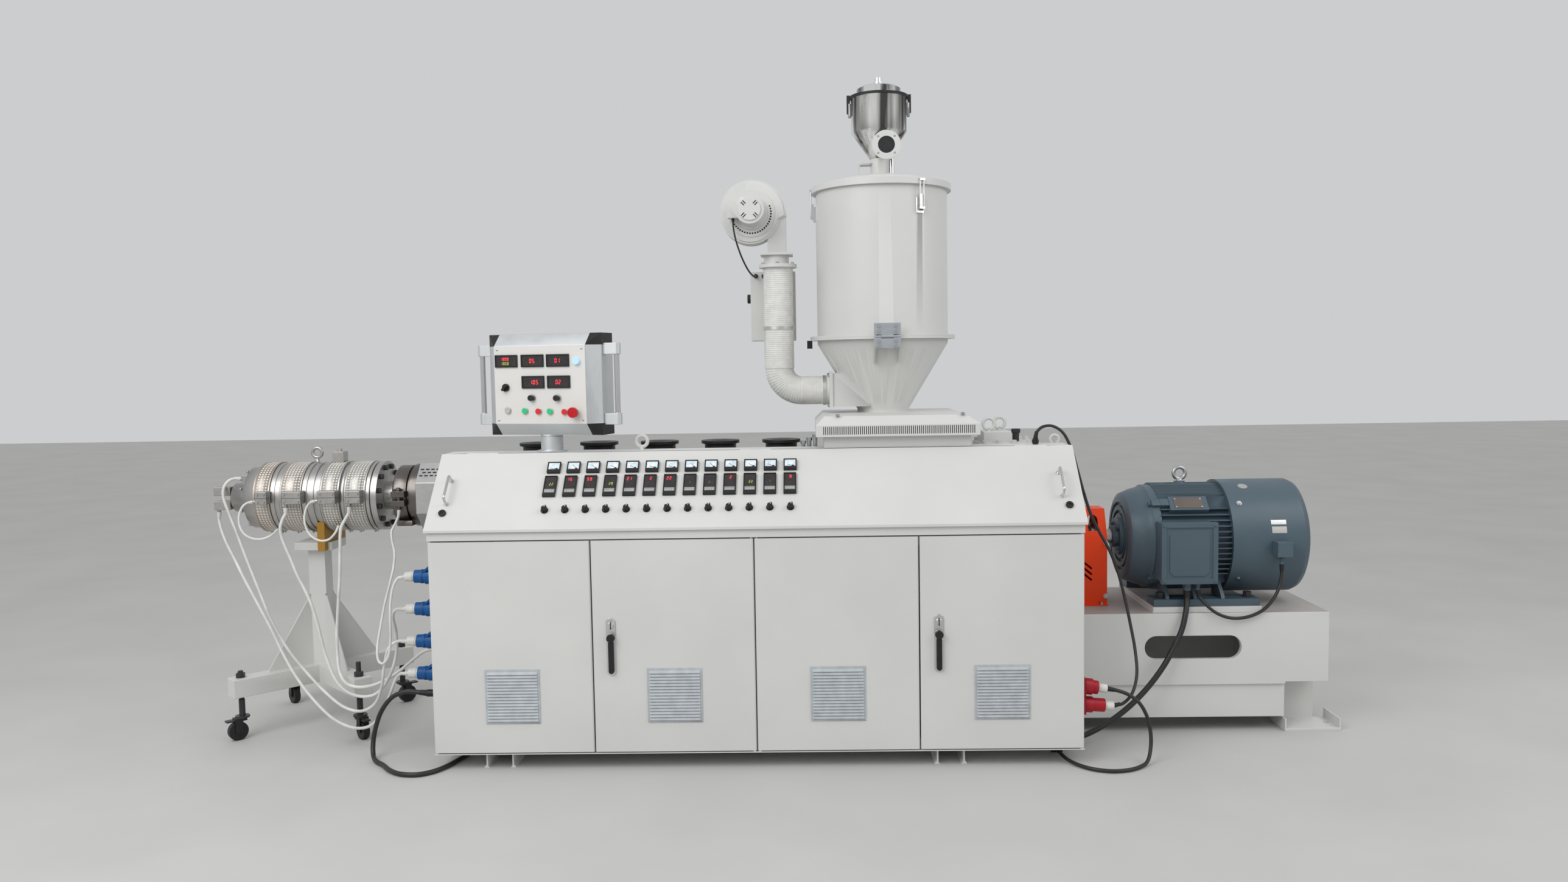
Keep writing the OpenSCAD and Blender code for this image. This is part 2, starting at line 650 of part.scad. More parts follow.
// Terminal boxes on the frame and on the fan's cover, with their glands
module motor_box() color([0.22, 0.3, 0.33]) {
  z0 = term_z0;
  z1 = term_z0 + term_h;
  x0 = term_x0;
  x1 = term_x0 + term_w;
  difference() {
    union() {
      block([x0, term_y, z0], [x1, term_y + 24, z1]);
      block([x0 + 7, term_y + 23, z0 + 6], [x1 - 7, axis_y - 110, z1 - 6]);
    }
    rod_x(x0 - 50, x1 + 50, axis_y, motor_z, frame_r + 0.2);
    block([x0 + 20, term_y - e, z0 + 20], [x1 - 20, term_y + 5, z1 - 20]);
  }
  translate([(x0 + x1) / 2, term_y + 6, (z0 + z1) / 2]) rotate([90, 0, 0]) linear_extrude(5) octagon(78, 90, 16);
  for (x = [x0 + 11, x1 - 11], z = [z0 + 11, z1 - 11])
    translate([x, term_y, z]) rotate([90, 0, 0]) cylinder(r = 6, h = 4);
  for (g = [[main_gland, 19], [lead_gland, 12]]) translate([g[0].x, g[0].y, z0 - 34]) {
    cylinder(r = g[1] - 3, h = 41);
    translate([0, 0, 16]) cylinder(r = g[1], h = 14, $fn = 6);
  }
  difference() {
    block([cab_w + 840, axis_y - fan_r - 55, 705], [cab_w + 900, axis_y - fan_r + 22, 764]);
    rod_x(fan_x, motor_x1, axis_y, motor_z, fan_r + 0.2);
  }
  translate([fan_gland.x, fan_gland.y, 672]) {
    cylinder(r = 8, h = 34);
    translate([0, 0, 14]) cylinder(r = 11, h = 12, $fn = 6);
  }
}

module octagon(w, h, cut) polygon([
  [-w, -h + cut], [-w + cut, -h], [w - cut, -h], [w, -h + cut], [w, h - cut], [w - cut, h], [-w + cut, h], [-w, h - cut]
]);

module motor_shaft() color([0.45, 0.45, 0.45]) {
  rod_x(coupling_x, motor_x0 - hub_l, axis_y, motor_z, 30);
  rod_x(coupling_x + 28, coupling_x + 66, axis_y, motor_z, 56);
  rod_x(gear_x1, coupling_x, axis_y, motor_z, 70);
}

// Hopper cone, open at its foot, with a flange, ribs, an inlet stub and half a hinge at its top
module hopper_cone() color([0.9, 0.9, 0.88]) translate([hop_x, axis_y, 0]) {
  wall = 4;
  z0 = riser_top + hood_face + hood_rise;
  rotate_extrude() polygon([
    [outlet_r, z0], [outlet_r, z0 + 12], [drum_r, flange_z - 24], [drum_r, flange_z - 8],
    [drum_r + flange_w, flange_z - 8], [drum_r + flange_w, flange_z], [drum_r - wall, flange_z],
    [drum_r - wall, flange_z - 22], [outlet_r - wall, z0 + 14], [outlet_r - wall, z0]
  ]);
  difference() {
    union() {
      block([inlet_x - hop_x, dryer_y - axis_y - 68, duct_z - 68], [-60, dryer_y - axis_y + 68, duct_z + 68]);
      for (s = [-1, 1]) along_x(s * 49 - 3, s * 49 + 3) polygon([
        [-drum_r - 37, flange_z - 46], [-drum_r - 37, flange_z - 8.5], [-drum_r + 3, flange_z - 8.5],
        [-drum_r + 3, flange_z - 34], [-drum_r + 52, flange_z - 103], [-drum_r + 34, flange_z - 103]
      ]);
    }
    rotate_extrude() polygon([[0, z0], [outlet_r - 2, z0], [outlet_r - 2, z0 + 14], [drum_r - 2, flange_z - 22],
                              [drum_r - 2, flange_z], [0, flange_z]]);
  }
  block([inlet_x - hop_x, dryer_y - axis_y - inlet_w / 2, duct_z - inlet_w / 2],
        [inlet_x - hop_x + 7, dryer_y - axis_y + inlet_w / 2, duct_z + inlet_w / 2]);
  block([-52, -drum_r - 44, flange_z - 46], [52, -drum_r - 36, flange_z - 8]);
  for (s = [-1, 1]) {
    block([s * 37 - 13, -drum_r - 43, flange_z - 9], [s * 37 + 13, -drum_r - 37, flange_z]);
    rod_x(s * 37 - 13, s * 37 + 13, -tilt_in, flange_z, 6);
  }
  rod_x(-50, 50, -tilt_in, flange_z, 3);
  block([-drum_r - flange_w - 14, -14, flange_z - 40], [-drum_r - flange_w + 8, 14, flange_z - 7]);
}

// Drum: a plain rolled shell with a flange, the other half of the hinge and latches for its lid
module hopper_drum() color([0.9, 0.9, 0.88]) translate([hop_x, axis_y, 0]) {
  difference() {
    union() {
      rotate_extrude() polygon([
        [drum_r + flange_w, flange_z + 0.3], [drum_r + flange_w, flange_z + 8], [drum_r, flange_z + 8], [drum_r, drum_top],
        [drum_r - 4, drum_top], [drum_r - 4, flange_z + 0.3]
      ]);
      block([-52, -drum_r - 44, flange_z + 8], [52, -drum_r - 36, flange_z + 52]);
      block([-23, -drum_r - 44, flange_z], [23, -drum_r - 36, flange_z + 9]);
      for (s = [-1, 1]) block([s * 37 - 8, -drum_r - 37, flange_z + 8], [s * 37 + 8, -drum_r + 2, flange_z + 16]);
      rod_x(-23.5, 23.5, -tilt_in, flange_z, 6);
    }
    rod_x(-30, 30, -tilt_in, flange_z, 3.05);
  }
  for (a = [-60, 60, 180]) rotate([0, 0, a]) translate([drum_r - 2, 0, drum_top]) {
    block([0, -15, -112], [12, 15, -52]);
    block([10, -9, -104], [19, 9, -40]);
    for (s = [-1, 1]) translate([22, s * 9, -96]) cylinder(r = 2.5, h = 112);
    block([12, -12, -98], [25, 12, -90]);
    block([20, -12, 12], [27, 12, 20]);
  }
}

module hopper_lid() color([0.9, 0.9, 0.88]) translate([hop_x, axis_y, drum_top]) rotate_extrude() polygon([
  [0, 0], [drum_r + 17, 0], [drum_r + 17, 25], [drum_r + 12, 25], [drum_r + 10, 8], [drum_r + 5, 28], [140, 62], [0, 62]
]);

// Vacuum loader: a bowl on a cone with a clamped lid, an elbow and a sight tube
module loader() color([0.7, 0.7, 0.7]) translate([hop_x - 5, axis_y, 0]) {
  rotate_extrude() polygon([
    [0, 2335], [40, 2335], [114, 2443], [114, 2575], [120, 2577], [120, 2588], [94, 2592], [94, 2596], [90, 2598],
    [90, 2616], [70, 2627], [0, 2632]
  ]);
  for (s = [-1, 1]) {
    block([s > 0 ? 112 : -126, -10, 2505], [s > 0 ? 126 : -112, 10, 2560]);
    block([s > 0 ? 118 : -132, -6, 2520], [s > 0 ? 132 : -118, 6, 2594]);
  }
  translate([-2, 0, 2624]) {
    cylinder(r = 20, h = 20);
    translate([0, 0, 20]) cylinder(r = 14, h = 18);
  }
  translate([22, -10, 2373]) rotate([90, 0, 0]) cylinder(r = 37, h = 100);
}

// Neck under the loader with its bracket and post, and the flange of the sight tube
module loader_neck() color([0.88, 0.88, 0.86]) translate([hop_x - 5, axis_y, 0]) {
  z0 = drum_top + 62;
  translate([0, 0, z0]) cylinder(r = 70, h = 8);
  translate([0, 0, z0]) cylinder(r = 37, h = 2335 - z0);
  block([-87, -22, z0 + 3], [-81, 22, z0 + 58]);
  block([-87, -22, z0 + 52], [-30, 22, z0 + 58]);
  block([-87, -22, z0], [-40, 22, z0 + 6]);
  translate([50, 0, z0]) cylinder(r = 11, h = 76);
  translate([22, -110, 2373]) rotate([90, 0, 0]) rotate_extrude() polygon([[34, 0], [58, 0], [58, 8], [34, 8]]);
  translate([22, -110, 2373]) rotate([90, 0, 0]) cylinder(r = 34.5, h = 3);
}

module dryer_duct() color([0.88, 0.88, 0.87]) {
  translate([duct_x, dryer_y, duct_z + elbow_r]) cylinder(r = duct_r, h = duct_top - duct_z - elbow_r);
  translate([duct_x, dryer_y, 1640]) cylinder(r = duct_r + 3, h = 14);
  translate([duct_x + elbow_r, dryer_y, duct_z + elbow_r]) rotate([90, 0, 0]) rotate([0, 0, 180])
    rotate_extrude(angle = 90) translate([elbow_r, 0]) circle(r = duct_r - 3);
  rod_x(duct_x + elbow_r, inlet_x - 7, dryer_y, duct_z, duct_r - 3);
  rod_x(inlet_x - 34, inlet_x - 20, dryer_y, duct_z, duct_r + 1);
  block([inlet_x - 7, dryer_y - inlet_w / 2, duct_z - inlet_w / 2], [inlet_x, dryer_y + inlet_w / 2, duct_z + inlet_w / 2]);
}

// Snail-shell blower: a spiral that opens downwards, its motor in front and a flanged neck below
module dryer_blower() color([0.9, 0.9, 0.88]) {
  x = duct_x - 104;
  z = 2112;
  d = 50;
  translate([x, dryer_y, z]) {
    rotate([90, 0, 0]) translate([0, 0, -d]) linear_extrude(2 * d) spiral(0);
    rotate([90, 0, 0]) translate([0, 0, -d - 6]) linear_extrude(2 * d + 12) spiral(8);
    rotate([90, 0, 0]) translate([0, 0, d]) cylinder(r = 96, h = 10);
    rotate([90, 0, 0]) translate([0, 0, d + 5]) cylinder(r = 66, h = 18);
    rotate([90, 0, 0]) cylinder(r = 57, h = 188);
    rotate([90, 0, 0]) translate([0, 0, 187]) cylinder(r = 44, h = 8);
    block([-92, -130, -26], [-50, -74, 26]);
  }
  block([x + 64, dryer_y - 42, duct_top + 60], [x + 140, dryer_y + 42, z]);
  block([duct_x - 70, dryer_y - 66, duct_top + 50], [duct_x + 62, dryer_y + 66, duct_top + 60]);
  translate([duct_x - 6, dryer_y, duct_top + 10]) cylinder(r = duct_r - 9, h = 41);
  translate([duct_x, dryer_y, duct_top]) cylinder(r = duct_r + 17, h = 14);
}

// The blower's outline, growing from its tongue by a quarter of its radius in one turn
module spiral(inset) polygon([for (a = [0 : 8 : 352])
  (118 + 24 * a / 352 - inset) * [cos(a - 348), -sin(a - 348)]]);

module dryer_box() color([0.85, 0.85, 0.83]) difference() {
  union() {
    block([duct_x - 119, dryer_y + duct_r + 20, 1597], [duct_x + 70, dryer_y + duct_r + 130, 1885]);
    for (z = [1680, 1830]) block([duct_x - 20, dryer_y + 40, z], [duct_x + 20, dryer_y + duct_r + 21, z + 20]);
    translate([duct_x - 118, dryer_y + duct_r + 60, 1775]) rotate([0, -90, 0]) cylinder(r = 19, h = 16);
    for (k = [0, 1]) translate([duct_x - 96 + 34 * k, dryer_y + duct_r + 21, 1868]) rotate([90, 0, 0]) cylinder(r = 9, h = 12);
  }
  translate([duct_x, dryer_y, 1600]) cylinder(r = duct_r + 0.2, h = 290);
}

// Die: turned body, heater bands and the neck that joins it to the barrel
module die_axis(x) translate([x, axis_y, screw_z]) rotate([0, 90, 0]) children();

module die_body() color([0.55, 0.55, 0.56]) {
  r = die_r - 8;
  die_axis(0) rotate_extrude() polygon([
    [0, tip_x], [50, tip_x], [62, tip_x + 10], [62, tip_x + 52], [67, tip_x + 56], [67, ring_x],
    [112, ring_x], [131, ring_x + 12], [131, bands_x - 8], [r - 4, bands_x],
    [r, bands_x + 4], [r, -816], [144, -814], [144, -797], [141, -796], [141, -792], [144, -791], [144, -776], [r, -774],
    [r, -683], [145, -681], [145, -664], [141, -663], [141, -656], [145, -655], [145, -634], [141, -633], [141, -626],
    [145, -625], [145, -608], [r, -606], [r, -526], [144, -524], [144, -507], [r, -505], [r, body_x1 - 1],
    [146, body_x1 + 1], [146, body_x1 + 14], [138, body_x1 + 16], [138, body_x1 + 19], [146, body_x1 + 20],
    [146, neck_x], [0, neck_x]
  ]);
  translate([-670, axis_y, screw_z + 140]) lifting_eye(20, 7, 7, 28);
}

// A heater band with raised rims
module band(x0, x1) die_axis(x0) rotate_extrude() polygon([
  [die_r - 8, 0], [die_r, 0], [die_r, 6], [die_r - 2, 7], [die_r - 2, x1 - x0 - 7], [die_r, x1 - x0 - 6],
  [die_r, x1 - x0], [die_r - 8, x1 - x0]
]);

module die_bands() color([0.72, 0.71, 0.7]) {
  band(-885, -817);
  band(-773, -684);
  band(-605, -527);
  band(-504, -418);
}

// Neck and its two-part clamp, tightened by a bolt at the front
module die_neck() color([0.6, 0.6, 0.6]) {
  d = cover_x - clamp_x - 5;
  rod_x(neck_x, clamp_x + 5, axis_y, screw_z, 60);
  die_axis(clamp_x + 5) rotate_extrude() polygon([
    [0, 0], [118, 0], [127, 8], [127, 60], [118, 62], [118, d - 36], [132, d - 34], [132, d - 2], [128, d], [0, d]
  ]);
  for (s = [-1, 1]) block([clamp_x + 14, axis_y - 158, screw_z + (s > 0 ? 7 : -31)],
                          [clamp_x + 70, axis_y - 118, screw_z + (s > 0 ? 31 : -7)]);
  translate([clamp_x + 42, axis_y - 143, screw_z - 46]) cylinder(r = 8, h = 92);
  translate([clamp_x + 42, axis_y - 143, screw_z + 30]) cylinder(r = 14, h = 12, $fn = 6);
  block([clamp_x + 20, axis_y - 112, screw_z - 118], [clamp_x + 84, axis_y - 62, screw_z - 96]);
}

// Plugs on the heater bands, on the tip and on top, each with the sleeve that its lead leaves by
module die_plugs() color([0.5, 0.5, 0.52]) {
  for (p = plug_x) difference() {
    block([p[0], axis_y - die_r - 40, screw_z - 13], [p[1], axis_y - 100, screw_z + 40]);
    rod_x(p[0] - 1, p[1] + 1, axis_y, screw_z, die_r);
  }
  for (k = [0, 2]) rod_x(plug_x[k][0] - 16, plug_x[k][0] + 1, axis_y - 168, screw_z - 2, 8);
  for (k = [1, 3]) translate([plug_x[k][0] + 9, axis_y - 168, screw_z - 28]) cylinder(r = 8, h = 16);
  for (s = [-1, 1])
    block([tip_x - tip_plug_l, axis_y - 50, screw_z + s * 30 - 19], [tip_x, axis_y - 8, screw_z + s * 30 + 19]);
  translate([tip_x - 56, axis_y - 36, screw_z - 58]) cylinder(r = 8, h = 10);
  difference() {
    block([-982, axis_y - 40, screw_z + 30], [-948, axis_y + 4, screw_z + 96]);
    rod_x(-1000, -940, axis_y, screw_z, 67);
  }
  translate([-994, axis_y - 18, screw_z + 80]) rotate([0, 90, 0]) cylinder(r = 8, h = 13);
  difference() {
    block([-596, axis_y - 24, screw_z + 130], [-548, axis_y + 24, screw_z + 190]);
    rod_x(-600, -540, axis_y, screw_z, die_r - 2);
  }
  translate([-572, axis_y, screw_z + 189]) cylinder(r = 10, h = 12);
}

// Stand: a post with four gussets on a cross of tubes, levelled by a bolt in each leg
module die_stand() color([0.87, 0.88, 0.86]) {
  h = post_half;
  block([stand_x - h, axis_y - h, 255], [stand_x + h, axis_y + h, stand_top - 34]);
  block([stand_x - plate_half, axis_y - plate_half, stand_top - 34],
        [stand_x + plate_half + 9, axis_y + plate_half, stand_top]);
  for (a = [45 : 90 : 315]) translate([stand_x, axis_y, 180]) rotate([0, 0, a]) {
    block([a == 45 || a == 225 ? 0 : 37.5, -37.5, 0], [385, 37.5, 75]);
    rotate([90, 0, 0]) translate([0, 0, -4]) linear_extrude(8) polygon([[40, 74], [232, 74], [232, 84], [50, 372], [40, 372]]);
    translate([345, 0, -14]) cylinder(r = 10, h = a == 315 ? 150 : 118);
    translate([345, 0, 75]) cylinder(r = 19, h = 20, $fn = 6);
  }
}

// Cradle under the die, hooked over the stand's top
module die_saddle() color([0.85, 0.6, 0.1]) difference() {
  y = plate_half;
  along_x(saddle_x0, saddle_x1) translate([axis_y, 0]) polygon([
    [-108, stand_top - 32], [-y, stand_top - 32], [-y, stand_top], [y, stand_top], [y, stand_top - 32],
    [108, stand_top - 32], [108, screw_z - 90], [-108, screw_z - 90]
  ]);
  rod_x(saddle_x0 - 1, saddle_x1 + 1, axis_y, screw_z, die_r - 2.98);
}

// Casters under the legs, their wheels set back from their stems
module casters() color([0.08, 0.08, 0.08])
  for (a = [45 : 90 : 315]) translate([stand_x, axis_y, 0]) rotate([0, 0, a]) translate([345, 0, 0]) {
    translate([0, 0, 96]) cylinder(r = 12, h = 70);
    translate([0, 0, 90]) cylinder(r = 28, h = 8);
    block([-12, -20, 79], [34, 20, 91]);
    for (s = [-1, 1]) block([4, s * 18 - 2, 28], [34, s * 18 + 2, 80]);
    translate([20, 0, 38]) rotate([90, 0, 0]) cylinder(r = 38, h = 26, center = true);
    translate([20, 0, 38]) rotate([90, 0, 0]) cylinder(r = 6, h = 42, center = true);
    block([30, -14, 80], [66, 14, 87]);
  }

// A plug in its socket along +Z: a flange, the socket, the plug's body and its gland
module plug_pair(l1, l2, l3) {
  block([-33, -33, 0], [33, 33, 12]);
  cylinder(r = 30, h = l1);
  translate([0, 0, l1]) cylinder(r = 25, h = l2 - l1);
  translate([0, 0, l1 + 8]) cylinder(r = 27, h = 10);
  translate([0, 0, l2]) cylinder(r = 18, h = l3 - l2);
  translate([0, 0, l2 + 8]) cylinder(r = 20, h = 14, $fn = 12);
}

// Four heater sockets down the cabinet's left end with their lids up, and the plain glands
module heater_sockets() color([0.05, 0.3, 0.65]) {
  for (k = [0 : 3]) translate([0, 150, 710 - 125.5 * k]) rotate([0, -90, 0]) {
    plug_pair(58, 100, 137);
    translate([26, 0, 46]) rotate([0, 50, 0]) cylinder(r = 27, h = 9);
  }
  for (g = [[158, 252, 72], [265, 400, 50]]) translate([0, g[0], g[1]]) rotate([0, -90, 0]) {
    cylinder(r = 14, h = g[2]);
    translate([0, 0, 12]) cylinder(r = 17, h = 14, $fn = 6);
  }
  for (g = [[110, 300, 0], [cab_w - 138, 210, 90], [cab_w - 75, 134, 0]])
    translate([g[0], g[1], 22]) rotate([0, 0, g[2]]) {
      block([-22, 0, -18], [22, 6, cab_z - 22]);
      rotate([90, 0, 0]) cylinder(r = 13, h = 14);
    }
  translate([cab_w - 120, 310, deck_z]) {
    cylinder(r = 11, h = 24);
    translate([0, 0, 5]) cylinder(r = 14, h = 12, $fn = 6);
  }
}

// Two supply plugs low on the cabinet's right end, drooping a little in their sockets
module power_plugs() color([0.7, 0.05, 0.08])
  for (p = [[215, 4, 120], [285, 8, 95]]) translate([cab_w, 60, p[0]]) {
    block([0, -30, -33], [12, 30, 33]);
    difference() {
      rotate([0, 90 + p[1], 0]) {
        translate([0, 0, -8]) cylinder(r = 30, h = 48);
        cylinder(r = 25, h = p[2] - 34);
        cylinder(r = 16, h = p[2]);
      }
      block([-40, -60, -60], [0, 60, 60]);
    }
  }

module water_fittings() color([0.7, 0.7, 0.72]) {
  for (k = [0 : 2]) translate([riser_x0 - 82 + 24 * k, cab_d + 50, base_top]) {
    cylinder(r = 8, h = deck_z + 20 - base_top + 12 * k);
    translate([0, 0, deck_z + 8 - base_top + 12 * k]) cylinder(r = 12, h = 12, $fn = 6);
  }
}

// Cords: a smooth curve through a row of points, and a tube along it
function unit(v) = v / norm(v);
function spline(a, b, c, d, t) =
  (2 * b + (c - a) * t + (2 * a - 5 * b + 4 * c - d) * t * t + (3 * b - a - 3 * c + d) * t * t * t) / 2;
function route(p, n) = let (m = len(p) - 1, q = concat([2 * p[0] - p[1]], p, [2 * p[m] - p[m - 1]]))
  concat([for (i = [1 : m], k = [0 : n - 1]) spline(q[i - 1], q[i], q[i + 1], q[i + 2], k / n)], [p[m]]);
function square(v) = let (u = unit(v)) [for (k = u) abs(k) > 0.8 ? sign(k) : 0];
function end_way(v) = norm(square(v)) > 0 ? square(v) : unit(v);
function ways(c) = let (z = len(c) - 1) concat([end_way(c[1] - c[0])],
  [for (i = [1 : z - 1]) unit(c[i + 1] - c[i - 1])], [end_way(c[z] - c[z - 1])]);
function across(t) = [for (i = 0, u = unit(cross(t[0], abs(t[0].x) < 0.8 ? [1, 0, 0] : [0, 1, 0])); i < len(t);
  i = i + 1, u = i < len(t) ? unit(u - (u * t[i]) * t[i]) : u) u];

module cord(points, d, n = 4) {
  c = route(points, n);
  t = ways(c);
  u = across(t);
  m = 8;
  z = len(c) - 1;
  polyhedron(
    points = [for (i = [0 : z], k = [0 : m - 1])
      c[i] + d / 2 * (cos(360 * k / m) * u[i] + sin(360 * k / m) * cross(t[i], u[i]))],
    faces = concat([[for (k = [0 : m - 1]) k]], [[for (k = [m - 1 : -1 : 0]) z * m + k]],
      [for (i = [0 : z - 1], k = [0 : m - 1], s = [0, 1]) let (a = i * m + k, b = i * m + (k + 1) % m)
        s == 0 ? [a, b + m, b] : [a, a + m, b + m]])
  );
}

// A row of points measured from a place on the machine
function from(o, points) = [for (p = points) o + p];
module lead_tip_low() color([0.85, 0.85, 0.83]) cord([
  [-1085, 604, 912], [-1086, 602, 880], [-1070, 590, 830], [-1038, 565, 780], [-991, 535, 715], [-940, 500, 645],
  [-880, 465, 565], [-805, 432, 450], [-741, 400, 345], [-672, 365, 255], [-592, 330, 175], [-500, 290, 112],
  [-405, 250, 88], [-320, 212, 108], [-265, 197, 168], [-228, 184, 240], [-198, 166, 302], [-172, 152, 330],
  [-137, 150, 333.5]], 12);
module lead_tip_high() color([0.85, 0.85, 0.83]) cord([
  [-994, 622, 1050], [-1014, 616, 1052], [-1034, 598, 1045], [-1047, 578, 1018], [-1042, 562, 975], [-1012, 548, 905],
  [-980, 540, 825], [-940, 530, 720], [-876, 495, 592], [-813, 462, 467], [-737, 435, 357], [-650, 405, 268],
  [-560, 365, 198], [-470, 320, 152], [-380, 272, 148], [-305, 228, 192], [-262, 190, 268], [-240, 165, 350],
  [-215, 152, 428], [-180, 150, 457], [-137, 150, 459]], 12, 3);
module lead_ring() color([0.85, 0.85, 0.83]) cord([
  [-874, 472, 968], [-892, 468, 966], [-912, 460, 950], [-924, 452, 915], [-923, 450, 875], [-905, 448, 840],
  [-870, 447, 820], [-830, 447, 818], [-793, 448, 832], [-764, 449, 858]], 9);
module lead_band_1() color([0.85, 0.85, 0.83]) cord([
  [-738, 472, 942], [-739, 470, 920], [-748, 458, 895], [-755, 450, 862], [-750, 448, 825], [-735, 444, 785],
  [-712, 438, 735], [-684, 430, 670], [-654, 425, 612], [-627, 418, 552], [-602, 410, 475], [-580, 400, 390],
  [-555, 388, 318], [-515, 362, 250], [-455, 332, 208], [-385, 312, 195], [-320, 296, 215], [-265, 285, 285],
  [-228, 265, 375], [-212, 230, 470], [-205, 185, 545], [-180, 155, 580], [-137, 150, 584.5]], 13, 3);
module lead_loop() color([0.85, 0.85, 0.83]) cord([
  [-615, 472, 968], [-630, 468, 965], [-646, 460, 945], [-654, 452, 905], [-648, 450, 862], [-628, 448, 828],
  [-592, 447, 808], [-555, 447, 812], [-528, 448, 838], [-513, 450, 868]], 9);
module lead_band_2() color([0.85, 0.85, 0.83]) cord([
  [-475, 472, 942], [-476, 470, 920], [-488, 462, 895], [-503, 452, 862], [-508, 449, 825], [-509, 446, 780],
  [-510, 440, 720], [-511, 433, 655], [-515, 426, 585], [-520, 420, 505], [-524, 412, 425], [-520, 402, 352],
  [-503, 372, 290], [-466, 336, 248], [-410, 314, 234], [-350, 320, 238], [-290, 326, 262], [-232, 324, 300],
  [-172, 304, 348], [-115, 277, 388], [-50, 265, 400]], 13, 3);
module lead_neck() color([0.85, 0.85, 0.83]) cord([
  [-278, 497, 924], [-280, 493, 900], [-290, 482, 870], [-302, 468, 838], [-296, 455, 800], [-280, 432, 755],
  [-275, 400, 700], [-282, 368, 635], [-290, 330, 565], [-292, 285, 490], [-286, 225, 415], [-262, 168, 380],
  [-228, 128, 378], [-200, 111, 412], [-188, 108, 480], [-186, 108, 580], [-181, 124, 660], [-166, 145, 703],
  [-137, 150, 710]], 10, 4);
module floor_lead() color([0.05, 0.05, 0.05]) cord([
  [-72, 158, 252], [-105, 158, 255], [-155, 158, 258], [-208, 158, 238], [-250, 158, 190], [-276, 157, 128],
  [-288, 150, 65], [-280, 125, 22], [-255, 85, 11], [-210, 40, 10], [-165, -15, 10], [-110, -55, 10], [-45, -62, 10],
  [5, -30, 10], [38, 25, 10], [58, 85, 10], [80, 145, 11], [98, 205, 15], [108, 250, 21], [110, 286, 22]], 18, 3);

module motor_cable() color([0.05, 0.05, 0.05]) cord(from([cab_w, 0, 0], [
  [495, axis_y - 255, 573], [493, axis_y - 263, 535], [481, 355, 487], [462, 340, 425], [428, 330, 355],
  [380, 315, 280], [315, 295, 205], [240, 272, 140], [160, 250, 88], [75, 230, 48], [-5, 216, 26],
  [-70, 210, 22], [-124, 210, 22]]), 22);
module fan_lead() color([0.05, 0.05, 0.05]) cord(from([cab_w, 0, 0], [
  [869, axis_y - 255, 672], [868, axis_y - 256, 630], [856, 378, 580], [826, 368, 530], [782, 358, 492],
  [722, 352, 469], [658, 350, 466], [602, 354, 486], [562, 364, 520], [541, 379, 550], [537, axis_y - 255, 573]]), 13);
module sensor_lead() color([0.05, 0.05, 0.05]) cord(from([cab_w, 0, 0], [
  [-120, 310, deck_z + 24], [-116, 310, 1216], [-92, 311, 1238], [-52, 310, 1240], [-12, 307, 1212],
  [18, 303, 1150], [40, 298, 1070], [62, 292, 985], [88, 285, 900], [122, 277, 825], [160, 266, 750], [188, 252, 668],
  [208, 235, 575], [222, 207, 480], [230, 172, 392], [226, 130, 310], [200, 92, 248], [160, 68, 214], [120.2, 60, 206.6]]), 12);
module supply_lead() color([0.05, 0.05, 0.05]) cord(from([cab_w, 0, 0], [
  [95.1, 60, 271.8], [130, 60, 265], [172, 58, 250], [212, 54, 220], [240, 48, 170], [252, 40, 110], [248, 25, 55],
  [228, -5, 16], [190, -42, 9], [140, -72, 9], [80, -82, 9], [20, -62, 9], [-25, -18, 9], [-55, 30, 12],
  [-71, 78, 18], [-75, 120, 22]]), 14);

place() cabinet_shell();
place() cabinet_feet();
place() door_leaf(0);  // door_1
place() door_leaf(1);  // door_2
place() door_leaf(2);  // door_3
place() door_leaf(3);  // door_4
place() lock(1);  // lock_2
place() lock(3);  // lock_4
place() sloped_panel();
place() panel_instruments();
place() panel_knobs();
place() panel_handles();
place() box_post();
place() box_body();
place() box_face();
place() box_controls();
place() box_handles();
place() base_frame();
place() foot_plates();
place() riser();
place() feed_hood();
place() barrel_cover();
place() barrel_blowers();
place() gearbox();
place() coupling_guard();
place() motor_frame();
place() motor_shield();
place() motor_fan_cover();
place() motor_box();
place() motor_shaft();
place() hopper_cone();
place() hopper_drum();
place() hopper_lid();
place() loader();
place() loader_neck();
place() dryer_duct();
place() dryer_blower();
place() dryer_box();
place() die_body();
place() die_bands();
place() die_neck();
place() die_plugs();
place() die_stand();
place() die_saddle();
place() casters();
place() heater_sockets();
place() power_plugs();
place() water_fittings();
place() lead_tip_low();
place() lead_tip_high();
place() lead_ring();
place() lead_band_1();
place() lead_loop();
place() lead_band_2();
place() lead_neck();
place() floor_lead();
place() motor_cable();
place() fan_lead();
place() sensor_lead();
place() supply_lead();
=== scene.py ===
"""Finish of a packed plastic extruder: paint, metals, fasteners, instruments, cables and the stage."""

